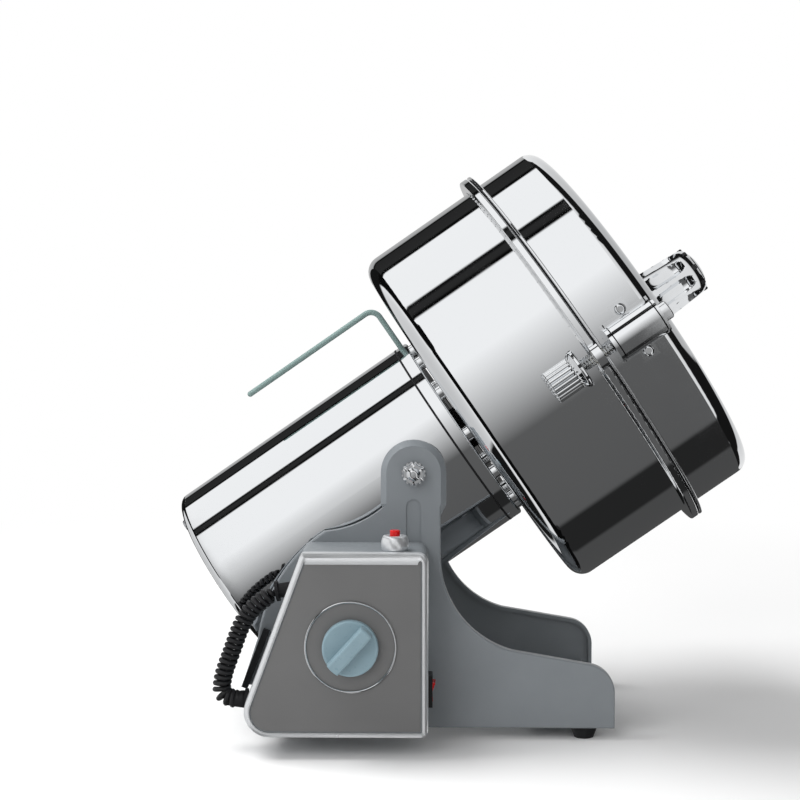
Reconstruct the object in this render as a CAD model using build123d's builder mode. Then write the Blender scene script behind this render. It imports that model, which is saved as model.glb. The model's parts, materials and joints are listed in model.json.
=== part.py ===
"""Electric grain mill: a motor with a grinding bowl that tilts in a pressed-steel stand.

The frame: +X towards the lid end, +Y away from the control box, +Z up. The origin is at
the middle of the whole object's footprint, on the surface that it stands on.
"Along" is a distance on the mill axis, from the pivot towards the lid. "Across" and
"above" are distances from the pivot on X and Z.
"""

import os
from math import cos, pi, radians, sin, sqrt, tan

from build123d import *

# ------------------------------------------------------------------ driving dimensions
# Lengths are in millimetres and angles in degrees.

running_gap = 0.05  # radial, round what turns in a bore
body_gap = 0.3  # between faces that move past each other

# Stand
pivot_height = 143.7
foot_height = 6.3
stand_half_width = 67.0  # mid-plane to a side plate's outer face
plate_depth = 6.0
plate_wall = 2.0
ear_r = 14.5
ear_bevel = 3.0
ear_shoulder = -17.0  # above, where the ear's bevel ends
ear_step = 6.0  # height of the taper below the bevel
plate_edge_r = 1.2
hollow = (-28.5, -26.5)  # across, above: the edge's low middle between ear and crest
crest = (-48.0, -31.5)  # across, above: where the rear edge starts to round over
brow = (-71.5, -55.5)
hip = (-83.5, -89.0)
heel = (-92.0, 22.9)  # across, up from the plate's lower edge
heel_step = 5.0
rear_corner = (-82.0, 8.5)
rear_corner_end = -68.0
waist = -45.0  # above, where the front edge starts to curve
instep = (53.0, 41.7)
toe = (107.9, 32.2)
toe_r = 15.5
bead_width = 8.0
bead_depth = 0.8
bead_top = -14.0
bead_bottom = 41.4  # up from the plate's lower edge
brace_sheet = 2.0
front_brace_x = (62.0, 102.0)
front_brace_lip = 9.0
rear_brace_x = (-80.0, -54.0)
rear_brace_lip = 18.0
low_lip = 6.0
foot_top_r = 7.6
foot_bottom_r = 5.2
foot_inset = 8.5  # plate's outer face to a foot's centre
foot_x = (-67.0, 92.0)
foot_screw_r = 2.0
foot_screw_head_r = 3.2
foot_screw_head = 2.4
foot_screw_length = 12.0

# Pivot
stud_r = 3.0
bush_r = 5.0
washer_r = 6.4
washer_thickness = 1.2
washer_teeth = 16
nut_across_flats = 10.0
nut_height = 5.0
stud_end = 2.0  # stud beyond the nut
boss_r = 8.0
boss_depth = 8.0  # boss inside the motor shell

# Control box
box_depth = 40.0
box_wall = 1.2
box_right = 7.7
box_top = -36.9
box_top_left = -56.9
box_bottom_left = -92.4
box_lift = 5.0  # box's underside above the plate's lower edge
box_corner_r = (5.0, 2.5, 13.0, 3.5)  # top right, top left, bottom left, bottom right
box_rim_r = 3.0
panel_margin = 3.6
panel_thickness = 0.6
dial_x = -31.8
dial_z = -85.0
dial_ring_r = 23.2
dial_ring_width = 1.1
dial_ring_height = 0.5
knob_r = 14.4
knob_base = 5.0
knob_base_edge_r = 1.2
knob_grip_inset = 0.4
knob_grip_taper = 4.0
knob_grip_width = 6.2
knob_grip_height = 8.0
knob_turn = 48.0  # grip bar's angle above horizontal at rest
spindle_r = 3.0
spindle_clearance = 1.0
spindle_length = 14.0
timer_size = (40.0, 44.0, 26.0)  # across, above, depth
breaker_x = -9.3
breaker_y = -96.0
breaker_size = (13.0, 13.0, 21.0)  # across, wide, deep
breaker_nut_base_r = 7.2
breaker_nut_top_r = 6.0
breaker_nut_height = 8.0
breaker_nut_cap = 1.0
breaker_neck_r = 4.5
reset_r = 2.6
reset_stands = 2.6
reset_edge_r = 0.6
reset_travel = 1.5
reset_length = 12.0
rocker_lift = 25.9  # above the plate's lower edge
rocker_half = 5.0
rocker_width = 8.4
rocker_tilt = 8.0
rocker_gap = 0.6
rocker_pin_r = 1.0
rocker_wall = 0.8
rocker_back = -3.6  # from the pin
rocker_crown = 3.4
rocker_valley = 2.4
rocker_housing_depth = 9.0
bezel_half = 8.3
bezel_width = 12.0
bezel_stands = 2.5
terminal_size = (30.0, 12.0, 14.0)
terminal_x = -30.0
terminal_lift = 17.5
terminal_ways = 5
box_screw_r = 1.6
box_screw_head = 1.5
box_screw_length = 10.0
box_post_r = 3.4
box_post_length = 14.0
box_post_inset = 4.3
box_rear_post_x = -60.0
guard_width = 3.4
guard_depth = 4.0
guard_top = (-78.5, -84.0)
guard_bottom = (-90.4, 22.4)  # across, up from the plate's lower edge

# Coiled cord and glands
coil_r = 5.0
cord_y = -84.0
cord_route = [
    (-72.0, -60.5),
    (-79.5, -61.8),
    (-87.5, -69.5),
    (-93.0, -81.0),
    (-96.6, -94.0),
    (-100.8, -106.5),
    (-99.0, -117.0),
    (-88.5, -117.5),
]
gland_r = 3.8
gland_flange_r = 5.4
gland_flange = 1.6
gland_inside = 7.0
mains_gland_r = 5.0
mains_gland_length = 12.0
mains_gland_y = 20.0
mains_gland_lift = 11.4  # above the plate's lower edge
mains_bore_r = 3.2

# Mill
mill_tilt = 34.7  # mill axis above horizontal
motor_r = 58.3
motor_wall = 1.0
motor_rear = -123.2
motor_seam = 26.7
end_bell_front = 34.1
motor_edge_r = 4.0
seam_edge_r = 0.45
cover_thickness = 4.5
cover_vents = 24
cover_vent_circle = 33.0
cover_vent_length = 24.0
cover_vent_width = 3.0
cover_screw_circle = 51.0
cover_screw_count = 3
cover_screw_r = 1.8
cover_screw_dome = 1.6
bracket_window_circle = 38.0
bracket_window_r = 15.0
spigot_depth = 5.0
web_thickness = 3.2
neck_post_r = 4.0
neck_post_circle = 52.0
neck_post_count = 12
bell_vent_circle = 35.0
bell_vent_length = 20.0
bell_vent_width = 7.0
shaft_r = 6.0
blade_seat_r = 5.0
bearing_r = 16.0
bearing_width = 10.0
front_bearing_at = 22.5
rear_bearing_at = -106.0
bearing_wall = 3.0
bearing_groove = 1.0
bearing_race = 3.0
stack_start = -60.0
stack_length = 50.0
stack_bore_r = 31.0
yoke_r = 45.0
pole_half_angle = 50.0
coil_overhang = 8.0
slot_liner = 0.4
air_gap = 0.8
armature_slots = 12
armature_slot_depth = 8.0
armature_slot_width = 3.5
commutator_r = 15.0
commutator_start = -90.0
commutator_length = 17.0
commutator_bars = 24
commutator_slot = 0.6
commutator_slot_depth = 1.0
brush_size = (8.0, 6.0)  # along, wide
holder_wall = 1.6
holder_outer_r = 40.0
fan_start = 4.0
fan_width = 11.0
fan_r = 47.0
fan_hub_r = 12.0
fan_blades = 9
fan_plate = 1.6
fan_root = 0.5  # blade let into the hub

# Bowl and lid
bowl_r = 107.75
bowl_wall = 1.2
bowl_bottom = 38.1
bowl_corner_r = 9.5
rim_reach = 7.4  # rim beyond the bowl's wall
rim_thickness = 4.3
rim_plane = 114.6  # top of the bowl's rim
rim_edge_r = 0.8
rim_root_r = 1.0  # where the rim meets the wall
lid_rim_thickness = 1.5
lid_rim_edge_r = 0.5
seal_thickness = 0.8
seal_lip = 5.0
seal_lip_width = 1.8
seal_lip_height = 1.2
lid_face = 154.3
lid_corner_r = 8.0
seal_bore_r = 13.0
seal_flange = 2.0
handle_r = 1.6
handle_bend_r = 6.0
handle_at = 30.4
handle_out = 85.0
handle_run = 86.0
handle_socket = 2.0
bowl_screw_count = 4
bowl_screw_r = 2.0
bowl_screw_head_r = 4.0
bowl_screw_head = 1.8

# Clamps
clamp_reach = 3.85  # rim's edge to a clamp's rod
lug_r = 7.3
clamp_rod_r = 3.0
clamp_bush_r = 5.0
thumb_start = 83.6
thumb_r = 8.6
thumb_length = 14.0
thumb_ribs = 20
thumb_groove_r = 0.7
collar_r = 10.4
collar_thickness = 2.5
collar_top = 102.8
rod_end = 146.0
housing_r = 9.5
housing_start = 121.0
housing_end = 149.6
housing_line = 0.7  # width and depth of the scored lines
housing_line_inset = 2.0
housing_score_up = 5.6
housing_cap_r = 5.0
housing_cap_end = 154.6
housing_cap_edge_r = 0.8
saddle_thickness = 1.3
saddle_half_width = 11.0
saddle_ear_r = 4.5
saddle_screw_offset = 12.7
saddle_screw_r = 3.0
saddle_screw_dome = 1.8
saddle_shank_r = 1.5
saddle_shank_length = 3.0

# Lid knob
lid_knob_end = 195.4
lid_knob_r = 15.7
lid_knob_lobes = 8
lid_knob_flute_r = 3.6
lid_knob_screw_r = 3.0
lid_knob_screw_length = 18.0
lid_knob_flute_inset = 9.0
lid_knob_crown = 6.0
lid_knob_crown_r = 12.4

# Blades
blade_thickness = 2.5
blade_width = 26.0
blade_tip_width = 12.0
blade_reach = (98.0, 90.0, 76.0)
blade_along = (48.0, 68.0, 88.0)
blade_turn = (0.0, 60.0, 120.0)
spacer_r = 9.0
blade_nut_height = 8.0
blade_nut_across_flats = 17.0
shaft_past_nut = 2.0

# ------------------------------------------------------------------ the shared frame

tilt = radians(mill_tilt)
rear_reach = (
    (-motor_rear - motor_edge_r) * cos(tilt)
    + (motor_r - motor_edge_r) * sin(tilt)
    + motor_edge_r
)
lid_reach = (
    (lid_face - lid_corner_r) * cos(tilt)
    + (bowl_r - lid_corner_r) * sin(tilt)
    + lid_corner_r
)
pivot_x = (rear_reach - lid_reach) / 2

pivot = Vector(pivot_x, 0, pivot_height)
mill_axis = Vector(cos(tilt), 0, sin(tilt))
spin_axis = Axis(pivot, mill_axis)
# Local x runs along the mill axis and local y up and across it.
mill_side = Plane(origin=pivot, x_dir=mill_axis, z_dir=(0, -1, 0))

plate_inner = stand_half_width - plate_depth
plate_bottom = foot_height - pivot_height
box_bottom = plate_bottom + box_lift
rim_r = bowl_r + rim_reach
clamp_r = rim_r + clamp_reach
motor_inner_r = motor_r - motor_wall
bowl_inner_r = bowl_r - bowl_wall
box_front = stand_half_width + box_depth


def raised(point):
    """A place above the pivot from one that is measured up from the plate's lower edge."""
    across, up = point
    return (across, plate_bottom + up)


def mill_face(along):
    """The plane square to the mill axis: local x towards +Y, local y up and back."""
    return Plane(origin=pivot + mill_axis * along, x_dir=(0, 1, 0), z_dir=mill_axis)


def upright(out):
    """An upright plane on the near side: local x across and local y above the pivot."""
    return Plane(origin=(pivot_x, -out, pivot_height), x_dir=(1, 0, 0), z_dir=(0, -1, 0))


def turned(corners):
    """A piece turned about the mill axis, from (along, radius, corner radius) points."""
    with BuildPart() as piece:
        with BuildSketch(mill_side):
            with BuildLine():
                FilletPolyline(
                    *[(along, r) for along, r, _ in corners],
                    radius=[corner_r for _, _, corner_r in corners],
                    close=True,
                )
            make_face()
        revolve(axis=spin_axis)
    return piece.part


def tube(start, end, outer_r, inner_r):
    """A plain ring about the mill axis."""
    return turned(
        [(start, inner_r, 0), (start, outer_r, 0), (end, outer_r, 0), (end, inner_r, 0)]
    )


def save(piece, node):
    """Labels a finished piece and writes its STEP file."""
    piece.part.label = node
    export_step(piece.part, f"parts/{node}.step")


os.makedirs("parts", exist_ok=True)

# ------------------------------------------------------------------ stand

with BuildSketch() as plate_outline:
    with BuildLine():
        ThreePointArc((ear_r, 0), (0, ear_r), (-ear_r, 0))
        Line((-ear_r, 0), (-ear_r, ear_shoulder))
        ThreePointArc((-ear_r, ear_shoulder), hollow, crest)
        ThreePointArc(crest, brow, hip)
        heel_back, heel_front = raised(heel), raised((heel[0] + heel_step, heel[1]))
        toe_foot, rear_foot = (toe[0], plate_bottom), (rear_corner_end, plate_bottom)
        Polyline(hip, heel_back, heel_front)
        ThreePointArc(heel_front, raised(rear_corner), rear_foot)
        Line(rear_foot, toe_foot)
        FilletPolyline(toe_foot, raised(toe), raised(instep), radius=toe_r)
        TangentArc((ear_r, waist), raised(instep), tangent=(0, -1))
        Line((ear_r, waist), (ear_r, 0))
    make_face()

with BuildSketch() as plate_recess_outline:
    add(plate_outline.sketch)
    offset(amount=-plate_wall, mode=Mode.REPLACE)
    Circle(ear_r + ear_bevel, mode=Mode.SUBTRACT)

with BuildSketch() as ear_outline:
    ear_outer_r = ear_r + ear_bevel
    with BuildLine():
        ThreePointArc((ear_outer_r, 0), (0, ear_outer_r), (-ear_outer_r, 0))
        Polyline(
            (-ear_outer_r, 0),
            (-ear_outer_r, ear_shoulder),
            (-ear_r, ear_shoulder - ear_step),
            (ear_r, ear_shoulder - ear_step),
            (ear_outer_r, ear_shoulder),
            (ear_outer_r, 0),
        )
    make_face()

bead_end = plate_bottom + bead_bottom
bead_length = bead_top - bead_end
box_posts = (
    (box_right - box_post_inset, box_top - box_post_inset),
    (box_right - box_post_inset, box_bottom + box_post_inset),
    (box_rear_post_x, box_bottom + box_post_inset),
)

with BuildPart() as side_plate_near:
    with BuildSketch(upright(plate_inner)):
        add(plate_outline.sketch)
    extrude(amount=plate_depth)
    with BuildSketch(upright(plate_inner)):
        add(ear_outline.sketch)
    extrude(amount=plate_depth - ear_bevel)
    with BuildSketch(upright(stand_half_width - ear_bevel)):
        add(ear_outline.sketch)
    extrude(amount=ear_bevel, taper=45)
    with BuildSketch(upright(plate_inner)):
        add(plate_recess_outline.sketch)
    extrude(amount=plate_depth - plate_wall, mode=Mode.SUBTRACT)
    with BuildSketch(upright(stand_half_width - bead_depth)):
        with Locations((0, (bead_top + bead_end) / 2)):
            SlotOverall(bead_length, bead_width, rotation=90)
    extrude(amount=bead_depth, mode=Mode.SUBTRACT)
    outer_edges = side_plate_near.faces().sort_by(Axis.Y)[0].outer_wire().edges()
    below_ear = pivot_height + ear_shoulder - 2 * ear_step
    fillet([edge for edge in outer_edges if edge.center().Z < below_ear], plate_edge_r)
    with BuildSketch(upright(plate_inner)):
        Circle(bush_r)
    extrude(amount=plate_depth, mode=Mode.SUBTRACT)
with BuildPart() as side_plate_far:
    mirror(side_plate_near.part, about=Plane.XZ, mode=Mode.ADD)
save(side_plate_far, "side_plate_far")

with side_plate_near:
    with BuildSketch(upright(plate_inner)):
        with Locations(*box_posts):
            Circle(box_screw_r)
    extrude(amount=plate_depth, mode=Mode.SUBTRACT)
save(side_plate_near, "side_plate_near")


def brace(x_range, rear_lip, front_lip):
    """A folded channel between the side plates: a flat sheet with a lip up at each edge."""
    x_0, x_1 = x_range
    base, sheet_top = plate_bottom, plate_bottom + brace_sheet
    with BuildPart() as channel:
        with BuildSketch(upright(-plate_inner)):
            with BuildLine():
                Polyline(
                    (x_0, base),
                    (x_1, base),
                    (x_1, base + front_lip),
                    (x_1 - brace_sheet, base + front_lip),
                    (x_1 - brace_sheet, sheet_top),
                    (x_0 + brace_sheet, sheet_top),
                    (x_0 + brace_sheet, base + rear_lip),
                    (x_0, base + rear_lip),
                    close=True,
                )
            make_face()
        extrude(amount=2 * plate_inner)
    return channel.part


foot_y = stand_half_width - foot_inset
foot_places = [(pivot_x + x, y) for x in foot_x for y in (-foot_y, foot_y)]

with BuildPart() as foot_screw_holes:
    with BuildSketch(Plane.XY.offset(foot_height)):
        with Locations(*foot_places):
            Circle(foot_screw_r)
    extrude(amount=brace_sheet)

with BuildPart() as front_brace:
    add(brace(front_brace_x, low_lip, front_brace_lip))
    add(foot_screw_holes.part, mode=Mode.SUBTRACT)
save(front_brace, "front_brace")

with BuildPart() as rear_brace:
    add(brace(rear_brace_x, rear_brace_lip, low_lip))
    add(foot_screw_holes.part, mode=Mode.SUBTRACT)
    with BuildSketch(Plane.YZ.offset(pivot_x + rear_brace_x[0])):
        with Locations((mains_gland_y, foot_height + mains_gland_lift)):
            Circle(mains_gland_r)
    extrude(amount=brace_sheet, mode=Mode.SUBTRACT)
save(rear_brace, "rear_brace")

with BuildPart() as rubber_feet:
    with Locations(*[(*place, foot_height / 2) for place in foot_places]):
        Cone(foot_bottom_r, foot_top_r, foot_height)
        Cylinder(foot_screw_r, foot_height, mode=Mode.SUBTRACT)
    with Locations(*[(*place, foot_screw_head / 2) for place in foot_places]):
        Cylinder(foot_screw_head_r, foot_screw_head, mode=Mode.SUBTRACT)
save(rubber_feet, "rubber_feet")

screw_head_bottom = foot_screw_head / 2
with BuildPart() as foot_screws:
    with BuildSketch(Plane.XY.offset(screw_head_bottom)):
        with Locations(*foot_places):
            Circle(foot_screw_head_r)
    extrude(amount=foot_screw_head - screw_head_bottom)
    with BuildSketch(Plane.XY.offset(screw_head_bottom)):
        with Locations(*foot_places):
            Circle(foot_screw_r)
    extrude(amount=foot_screw_length)
save(foot_screws, "foot_screws")

# ------------------------------------------------------------------ pivot

motor_boss_out = plate_inner - body_gap
washer_outer = stand_half_width + washer_thickness
nut_start = washer_outer + body_gap

with BuildPart() as pivot_bushes:
    with BuildSketch(upright(plate_inner)):
        Circle(bush_r)
        Circle(stud_r + running_gap, mode=Mode.SUBTRACT)
    extrude(amount=plate_depth)
    mirror(about=Plane.XZ)
save(pivot_bushes, "pivot_bushes")

with BuildPart() as pivot_washers:
    with BuildSketch(upright(stand_half_width)):
        Circle(washer_r)
        Circle(stud_r + 2 * running_gap, mode=Mode.SUBTRACT)
        with PolarLocations(washer_r, washer_teeth):
            Rectangle(washer_thickness, washer_thickness, mode=Mode.SUBTRACT)
    extrude(amount=washer_thickness)
    mirror(about=Plane.XZ)
save(pivot_washers, "pivot_washers")

with BuildPart() as pivot_studs:
    with BuildSketch(upright(motor_r - boss_depth)):
        Circle(stud_r)
    extrude(amount=nut_start + nut_height + stud_end - motor_r + boss_depth)
    fillet(pivot_studs.edges().group_by(Axis.Y)[0], stud_r / 2)
    mirror(about=Plane.XZ)
save(pivot_studs, "pivot_studs")

with BuildPart() as pivot_nuts:
    with BuildSketch(upright(nut_start)):
        RegularPolygon(nut_across_flats / 2, 6, major_radius=False)
        Circle(stud_r, mode=Mode.SUBTRACT)
    extrude(amount=nut_height)
    mirror(about=Plane.XZ)
save(pivot_nuts, "pivot_nuts")

with BuildPart() as pivot_bosses:
    with BuildSketch(upright(motor_r - boss_depth)):
        Circle(boss_r)
        Circle(stud_r, mode=Mode.SUBTRACT)
    extrude(amount=motor_boss_out - motor_r + boss_depth)
    mirror(about=Plane.XZ)
save(pivot_bosses, "pivot_bosses")

# ------------------------------------------------------------------ control box

box_corners = [
    (box_right, box_top),
    (box_top_left, box_top),
    (box_bottom_left, box_bottom),
    (box_right, box_bottom),
]

with BuildSketch() as box_outline:
    with BuildLine():
        FilletPolyline(*box_corners, radius=box_corner_r, close=True)
    make_face()

with BuildSketch() as box_inner_outline:
    add(box_outline.sketch)
    offset(amount=-box_wall, mode=Mode.REPLACE)

with BuildSketch() as panel_outline:
    add(box_outline.sketch)
    offset(amount=-panel_margin, mode=Mode.REPLACE)

breaker_plane = Plane(origin=(pivot_x + breaker_x, breaker_y, pivot_height + box_top))
rocker_y = -(stand_half_width + box_depth / 2)
rocker_height = foot_height + rocker_lift
rocker_plane = Plane(
    origin=(pivot_x + box_right, rocker_y, rocker_height),
    x_dir=(0, 1, 0),
    z_dir=(1, 0, 0),
)
route = [Vector(pivot_x + across, cord_y, pivot_height + above) for across, above in cord_route]
gland_planes = [
    Plane(origin=end, x_dir=(0, 1, 0), z_dir=beside - end)
    for end, beside in (route[:2], route[:-3:-1])
]


housing_half = bezel_half - rocker_wall
housing_width = rocker_width + 2 * rocker_gap + 2 * rocker_wall

with BuildPart() as control_box:
    with BuildSketch(upright(stand_half_width)):
        add(box_outline.sketch)
    extrude(amount=box_depth)
    fillet(control_box.faces().sort_by(Axis.Y)[0].edges(), box_rim_r)
    with BuildSketch(upright(stand_half_width)):
        add(box_inner_outline.sketch)
    extrude(amount=box_depth - box_rim_r, mode=Mode.SUBTRACT)
    with BuildSketch(upright(stand_half_width)):
        add(panel_outline.sketch)
    extrude(amount=box_depth - box_wall, mode=Mode.SUBTRACT)
    with BuildSketch(upright(box_front - box_wall)):
        with Locations((dial_x, dial_z)):
            Circle(spindle_r + spindle_clearance)
    extrude(amount=box_wall, mode=Mode.SUBTRACT)
    with BuildSketch(breaker_plane):
        Circle(breaker_neck_r)
    extrude(amount=-box_wall, mode=Mode.SUBTRACT)
    with BuildSketch(rocker_plane):
        Rectangle(housing_width, 2 * housing_half)
    extrude(amount=-box_wall, mode=Mode.SUBTRACT)
    for gland_plane in gland_planes:
        with BuildSketch(gland_plane):
            Circle(gland_r)
        extrude(amount=-2 * gland_inside, mode=Mode.SUBTRACT)
        with BuildSketch(gland_plane):
            Circle(gland_flange_r)
        extrude(amount=-gland_flange, mode=Mode.SUBTRACT)
    with BuildSketch(upright(stand_half_width)):
        with Locations(*box_posts):
            Circle(box_post_r)
        add(box_outline.sketch, mode=Mode.INTERSECT)
    extrude(amount=box_post_length)
    with BuildSketch(upright(stand_half_width)):
        with Locations(*box_posts):
            Circle(box_screw_r)
    extrude(amount=box_screw_length, mode=Mode.SUBTRACT)
save(control_box, "control_box")

panel_front = box_front + panel_thickness

with BuildPart() as control_panel:
    with BuildSketch(upright(box_front)):
        add(panel_outline.sketch)
        with Locations((dial_x, dial_z)):
            Circle(spindle_r + spindle_clearance, mode=Mode.SUBTRACT)
    extrude(amount=panel_thickness)
    with BuildSketch(upright(panel_front)):
        with Locations((dial_x, dial_z)):
            Circle(dial_ring_r + dial_ring_width / 2)
            Circle(dial_ring_r - dial_ring_width / 2, mode=Mode.SUBTRACT)
    extrude(amount=dial_ring_height)
save(control_panel, "control_panel")

with BuildPart() as timer_body:
    timer_across, timer_above, timer_depth = timer_size
    with BuildSketch(upright(box_front - box_wall - timer_depth)):
        with Locations((dial_x, dial_z)):
            Rectangle(timer_across, timer_above)
    extrude(amount=timer_depth)
    fillet(timer_body.edges().filter_by(Axis.Y), box_rim_r)
    with BuildSketch(upright(box_front - box_wall - spindle_length)):
        with Locations((dial_x, dial_z)):
            Circle(spindle_r + running_gap)
    extrude(amount=spindle_length, mode=Mode.SUBTRACT)
save(timer_body, "timer_body")

knob_back = panel_front + body_gap
spindle_back = box_front - box_wall - spindle_length + spindle_clearance

with BuildPart() as timer_knob:
    with BuildSketch(upright(knob_back)):
        with Locations((dial_x, dial_z)):
            Circle(knob_r)
    extrude(amount=knob_base)
    fillet(timer_knob.edges().group_by(Axis.Y)[0], knob_base_edge_r)
    with BuildSketch(upright(knob_back + knob_base)):
        with Locations((dial_x, dial_z)):
            Rectangle(2 * knob_r, knob_grip_width, rotation=knob_turn)
            Circle(knob_r - knob_grip_inset, mode=Mode.INTERSECT)
    extrude(amount=knob_grip_height, taper=knob_grip_taper)
    with BuildSketch(upright(spindle_back)):
        with Locations((dial_x, dial_z)):
            Circle(spindle_r)
    extrude(amount=knob_back - spindle_back)
save(timer_knob, "timer_knob")

breaker_across, breaker_wide, breaker_deep = breaker_size
with BuildPart() as breaker_body:
    with BuildSketch(breaker_plane.offset(-box_wall)):
        Rectangle(breaker_across, breaker_wide)
    extrude(amount=-breaker_deep)
    with BuildSketch(breaker_plane.offset(-box_wall)):
        Circle(breaker_neck_r)
    extrude(amount=box_wall + breaker_nut_height - breaker_nut_cap)
    with BuildSketch(breaker_plane.offset(-reset_length)):
        Circle(reset_r + running_gap)
    extrude(amount=reset_length + breaker_nut_height, mode=Mode.SUBTRACT)
save(breaker_body, "breaker_body")

with BuildPart() as breaker_nut:
    with BuildSketch(breaker_plane):
        Circle(breaker_nut_base_r)
    with BuildSketch(breaker_plane.offset(breaker_nut_height)):
        Circle(breaker_nut_top_r)
    loft()
    with BuildSketch(breaker_plane):
        Circle(breaker_neck_r)
    extrude(amount=breaker_nut_height - breaker_nut_cap, mode=Mode.SUBTRACT)
    with BuildSketch(breaker_plane):
        Circle(reset_r + 4 * running_gap)
    extrude(amount=breaker_nut_height, mode=Mode.SUBTRACT)
save(breaker_nut, "breaker_nut")

reset_bottom = reset_travel + body_gap - reset_length
with BuildPart() as reset_button:
    with BuildSketch(breaker_plane.offset(reset_bottom)):
        Circle(reset_r)
    extrude(amount=breaker_nut_height + reset_stands - reset_bottom)
    fillet(reset_button.edges().group_by(Axis.Z)[-1], reset_edge_r)
save(reset_button, "reset_button")

with BuildPart() as rocker_housing:
    with BuildSketch(rocker_plane):
        Rectangle(bezel_width, 2 * bezel_half)
    extrude(amount=bezel_stands)
    with BuildSketch(rocker_plane.offset(-rocker_housing_depth)):
        Rectangle(housing_width, 2 * housing_half)
    extrude(amount=rocker_housing_depth)
    with BuildSketch(rocker_plane.offset(bezel_stands)):
        Rectangle(rocker_width + 2 * body_gap, 2 * (rocker_half + rocker_gap))
    extrude(amount=rocker_wall - rocker_housing_depth - bezel_stands, mode=Mode.SUBTRACT)
    with BuildSketch(Plane.XZ.offset(-rocker_y)):
        with Locations((pivot_x + box_right, rocker_height)):
            Circle(rocker_pin_r + running_gap)
    extrude(amount=housing_width / 2 - rocker_gap / 2, both=True, mode=Mode.SUBTRACT)
save(rocker_housing, "rocker_housing")

rocker_side = Plane(
    origin=(pivot_x + box_right, rocker_y, rocker_height),
    x_dir=(cos(radians(rocker_tilt)), 0, -sin(radians(rocker_tilt))),
    z_dir=(0, -1, 0),
)
with BuildPart() as rocker_switch:
    with BuildSketch(rocker_side):
        with BuildLine():
            Polyline(
                (rocker_back, -rocker_half + rocker_gap),
                (rocker_back, rocker_half - rocker_gap),
                (rocker_crown, rocker_half),
                (rocker_valley, 0),
                (rocker_crown, -rocker_half),
                close=True,
            )
        make_face()
    extrude(amount=rocker_width / 2, both=True)
    with BuildSketch(rocker_side):
        Circle(rocker_pin_r)
    extrude(amount=housing_width / 2 - rocker_gap, both=True)
save(rocker_switch, "rocker_switch")

with BuildPart() as terminal_block:
    block_across, block_above, block_depth = terminal_size
    with BuildSketch(upright(stand_half_width)):
        with Locations((terminal_x, plate_bottom + terminal_lift)):
            Rectangle(block_across, block_above)
    extrude(amount=block_depth)
    way_pitch = block_across / terminal_ways
    with BuildSketch(upright(stand_half_width + block_depth / 2)):
        with Locations((terminal_x, plate_bottom + terminal_lift)):
            with GridLocations(way_pitch, 1, terminal_ways, 1):
                Circle(way_pitch / 4)
    extrude(amount=block_depth / 2, mode=Mode.SUBTRACT)
save(terminal_block, "terminal_block")

skin = stand_half_width - plate_wall
with BuildPart() as box_screws:
    with BuildSketch(upright(skin - box_screw_head)):
        with Locations(*box_posts):
            Circle(2 * box_screw_r)
    extrude(amount=box_screw_head)
    with BuildSketch(upright(skin)):
        with Locations(*box_posts):
            Circle(box_screw_r)
    extrude(amount=plate_wall + box_screw_length)
save(box_screws, "box_screws")

with BuildPart() as edge_guard:
    with BuildSketch(upright(stand_half_width)):
        with BuildLine():
            guard_line = Line(guard_top, raised(guard_bottom))
        trace(guard_line, guard_width)
    extrude(amount=guard_depth)
save(edge_guard, "edge_guard")

with BuildPart() as cord_glands:
    for gland_plane in gland_planes:
        with BuildSketch(gland_plane):
            Circle(gland_flange_r)
        extrude(amount=-gland_flange)
        with BuildSketch(gland_plane):
            Circle(gland_r)
        extrude(amount=-gland_flange - gland_inside)
save(cord_glands, "cord_glands")

mains_plane = Plane(
    origin=(pivot_x + rear_brace_x[0], mains_gland_y, foot_height + mains_gland_lift),
    x_dir=(0, 1, 0),
    z_dir=(-1, 0, 0),
)
with BuildPart() as mains_gland:
    with BuildSketch(mains_plane.offset(-brace_sheet - gland_flange)):
        Circle(mains_gland_r + gland_flange)
    extrude(amount=gland_flange)
    with BuildSketch(mains_plane.offset(-brace_sheet)):
        Circle(mains_gland_r)
    extrude(amount=brace_sheet + mains_gland_length)
    with BuildSketch(mains_plane.offset(-brace_sheet - gland_flange)):
        Circle(mains_bore_r)
    extrude(amount=brace_sheet + gland_flange + mains_gland_length, mode=Mode.SUBTRACT)
save(mains_gland, "mains_gland")

runs = [b - a for a, b in zip(route, route[1:])]
turns = [a.get_angle(b) for a, b in zip(runs, runs[1:])]
bends = [
    0.45 * min(a.length, b.length) / tan(radians(turn / 2))
    for a, b, turn in zip(runs, runs[1:], turns)
]
print("cord bend radii", [round(bend, 1) for bend in bends])

with BuildPart() as curly_cord:
    with BuildLine() as cord_line:
        FilletPolyline(*route, radius=bends)
    with BuildSketch(Plane(origin=route[0], z_dir=runs[0])):
        Circle(coil_r)
    sweep(path=cord_line.wires()[0])
cord_length = cord_line.wires()[0].length
print("cord volume over section times length", curly_cord.part.volume / (pi * coil_r**2 * cord_length))
save(curly_cord, "curly_cord")

# ------------------------------------------------------------------ motor

with BuildPart() as motor_shell:
    add(
        turned(
            [
                (motor_rear + cover_thickness, motor_inner_r, 0),
                (motor_rear + cover_thickness, motor_r, 0),
                (motor_seam, motor_r, seam_edge_r),
                (motor_seam, motor_inner_r, 0),
            ]
        )
    )
    with BuildSketch(upright(0)):
        Circle(boss_r)
    extrude(amount=2 * motor_r, both=True, mode=Mode.SUBTRACT)
save(motor_shell, "motor_shell")

bearing_housing_r = bearing_r + bearing_wall
handle_foot = Plane(
    origin=mill_side.from_local_coords((handle_at, motor_r, 0)),
    x_dir=mill_axis,
    z_dir=mill_side.y_dir,
)
front_bearing_end = front_bearing_at + bearing_width
spigot_r = motor_inner_r - running_gap

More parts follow.
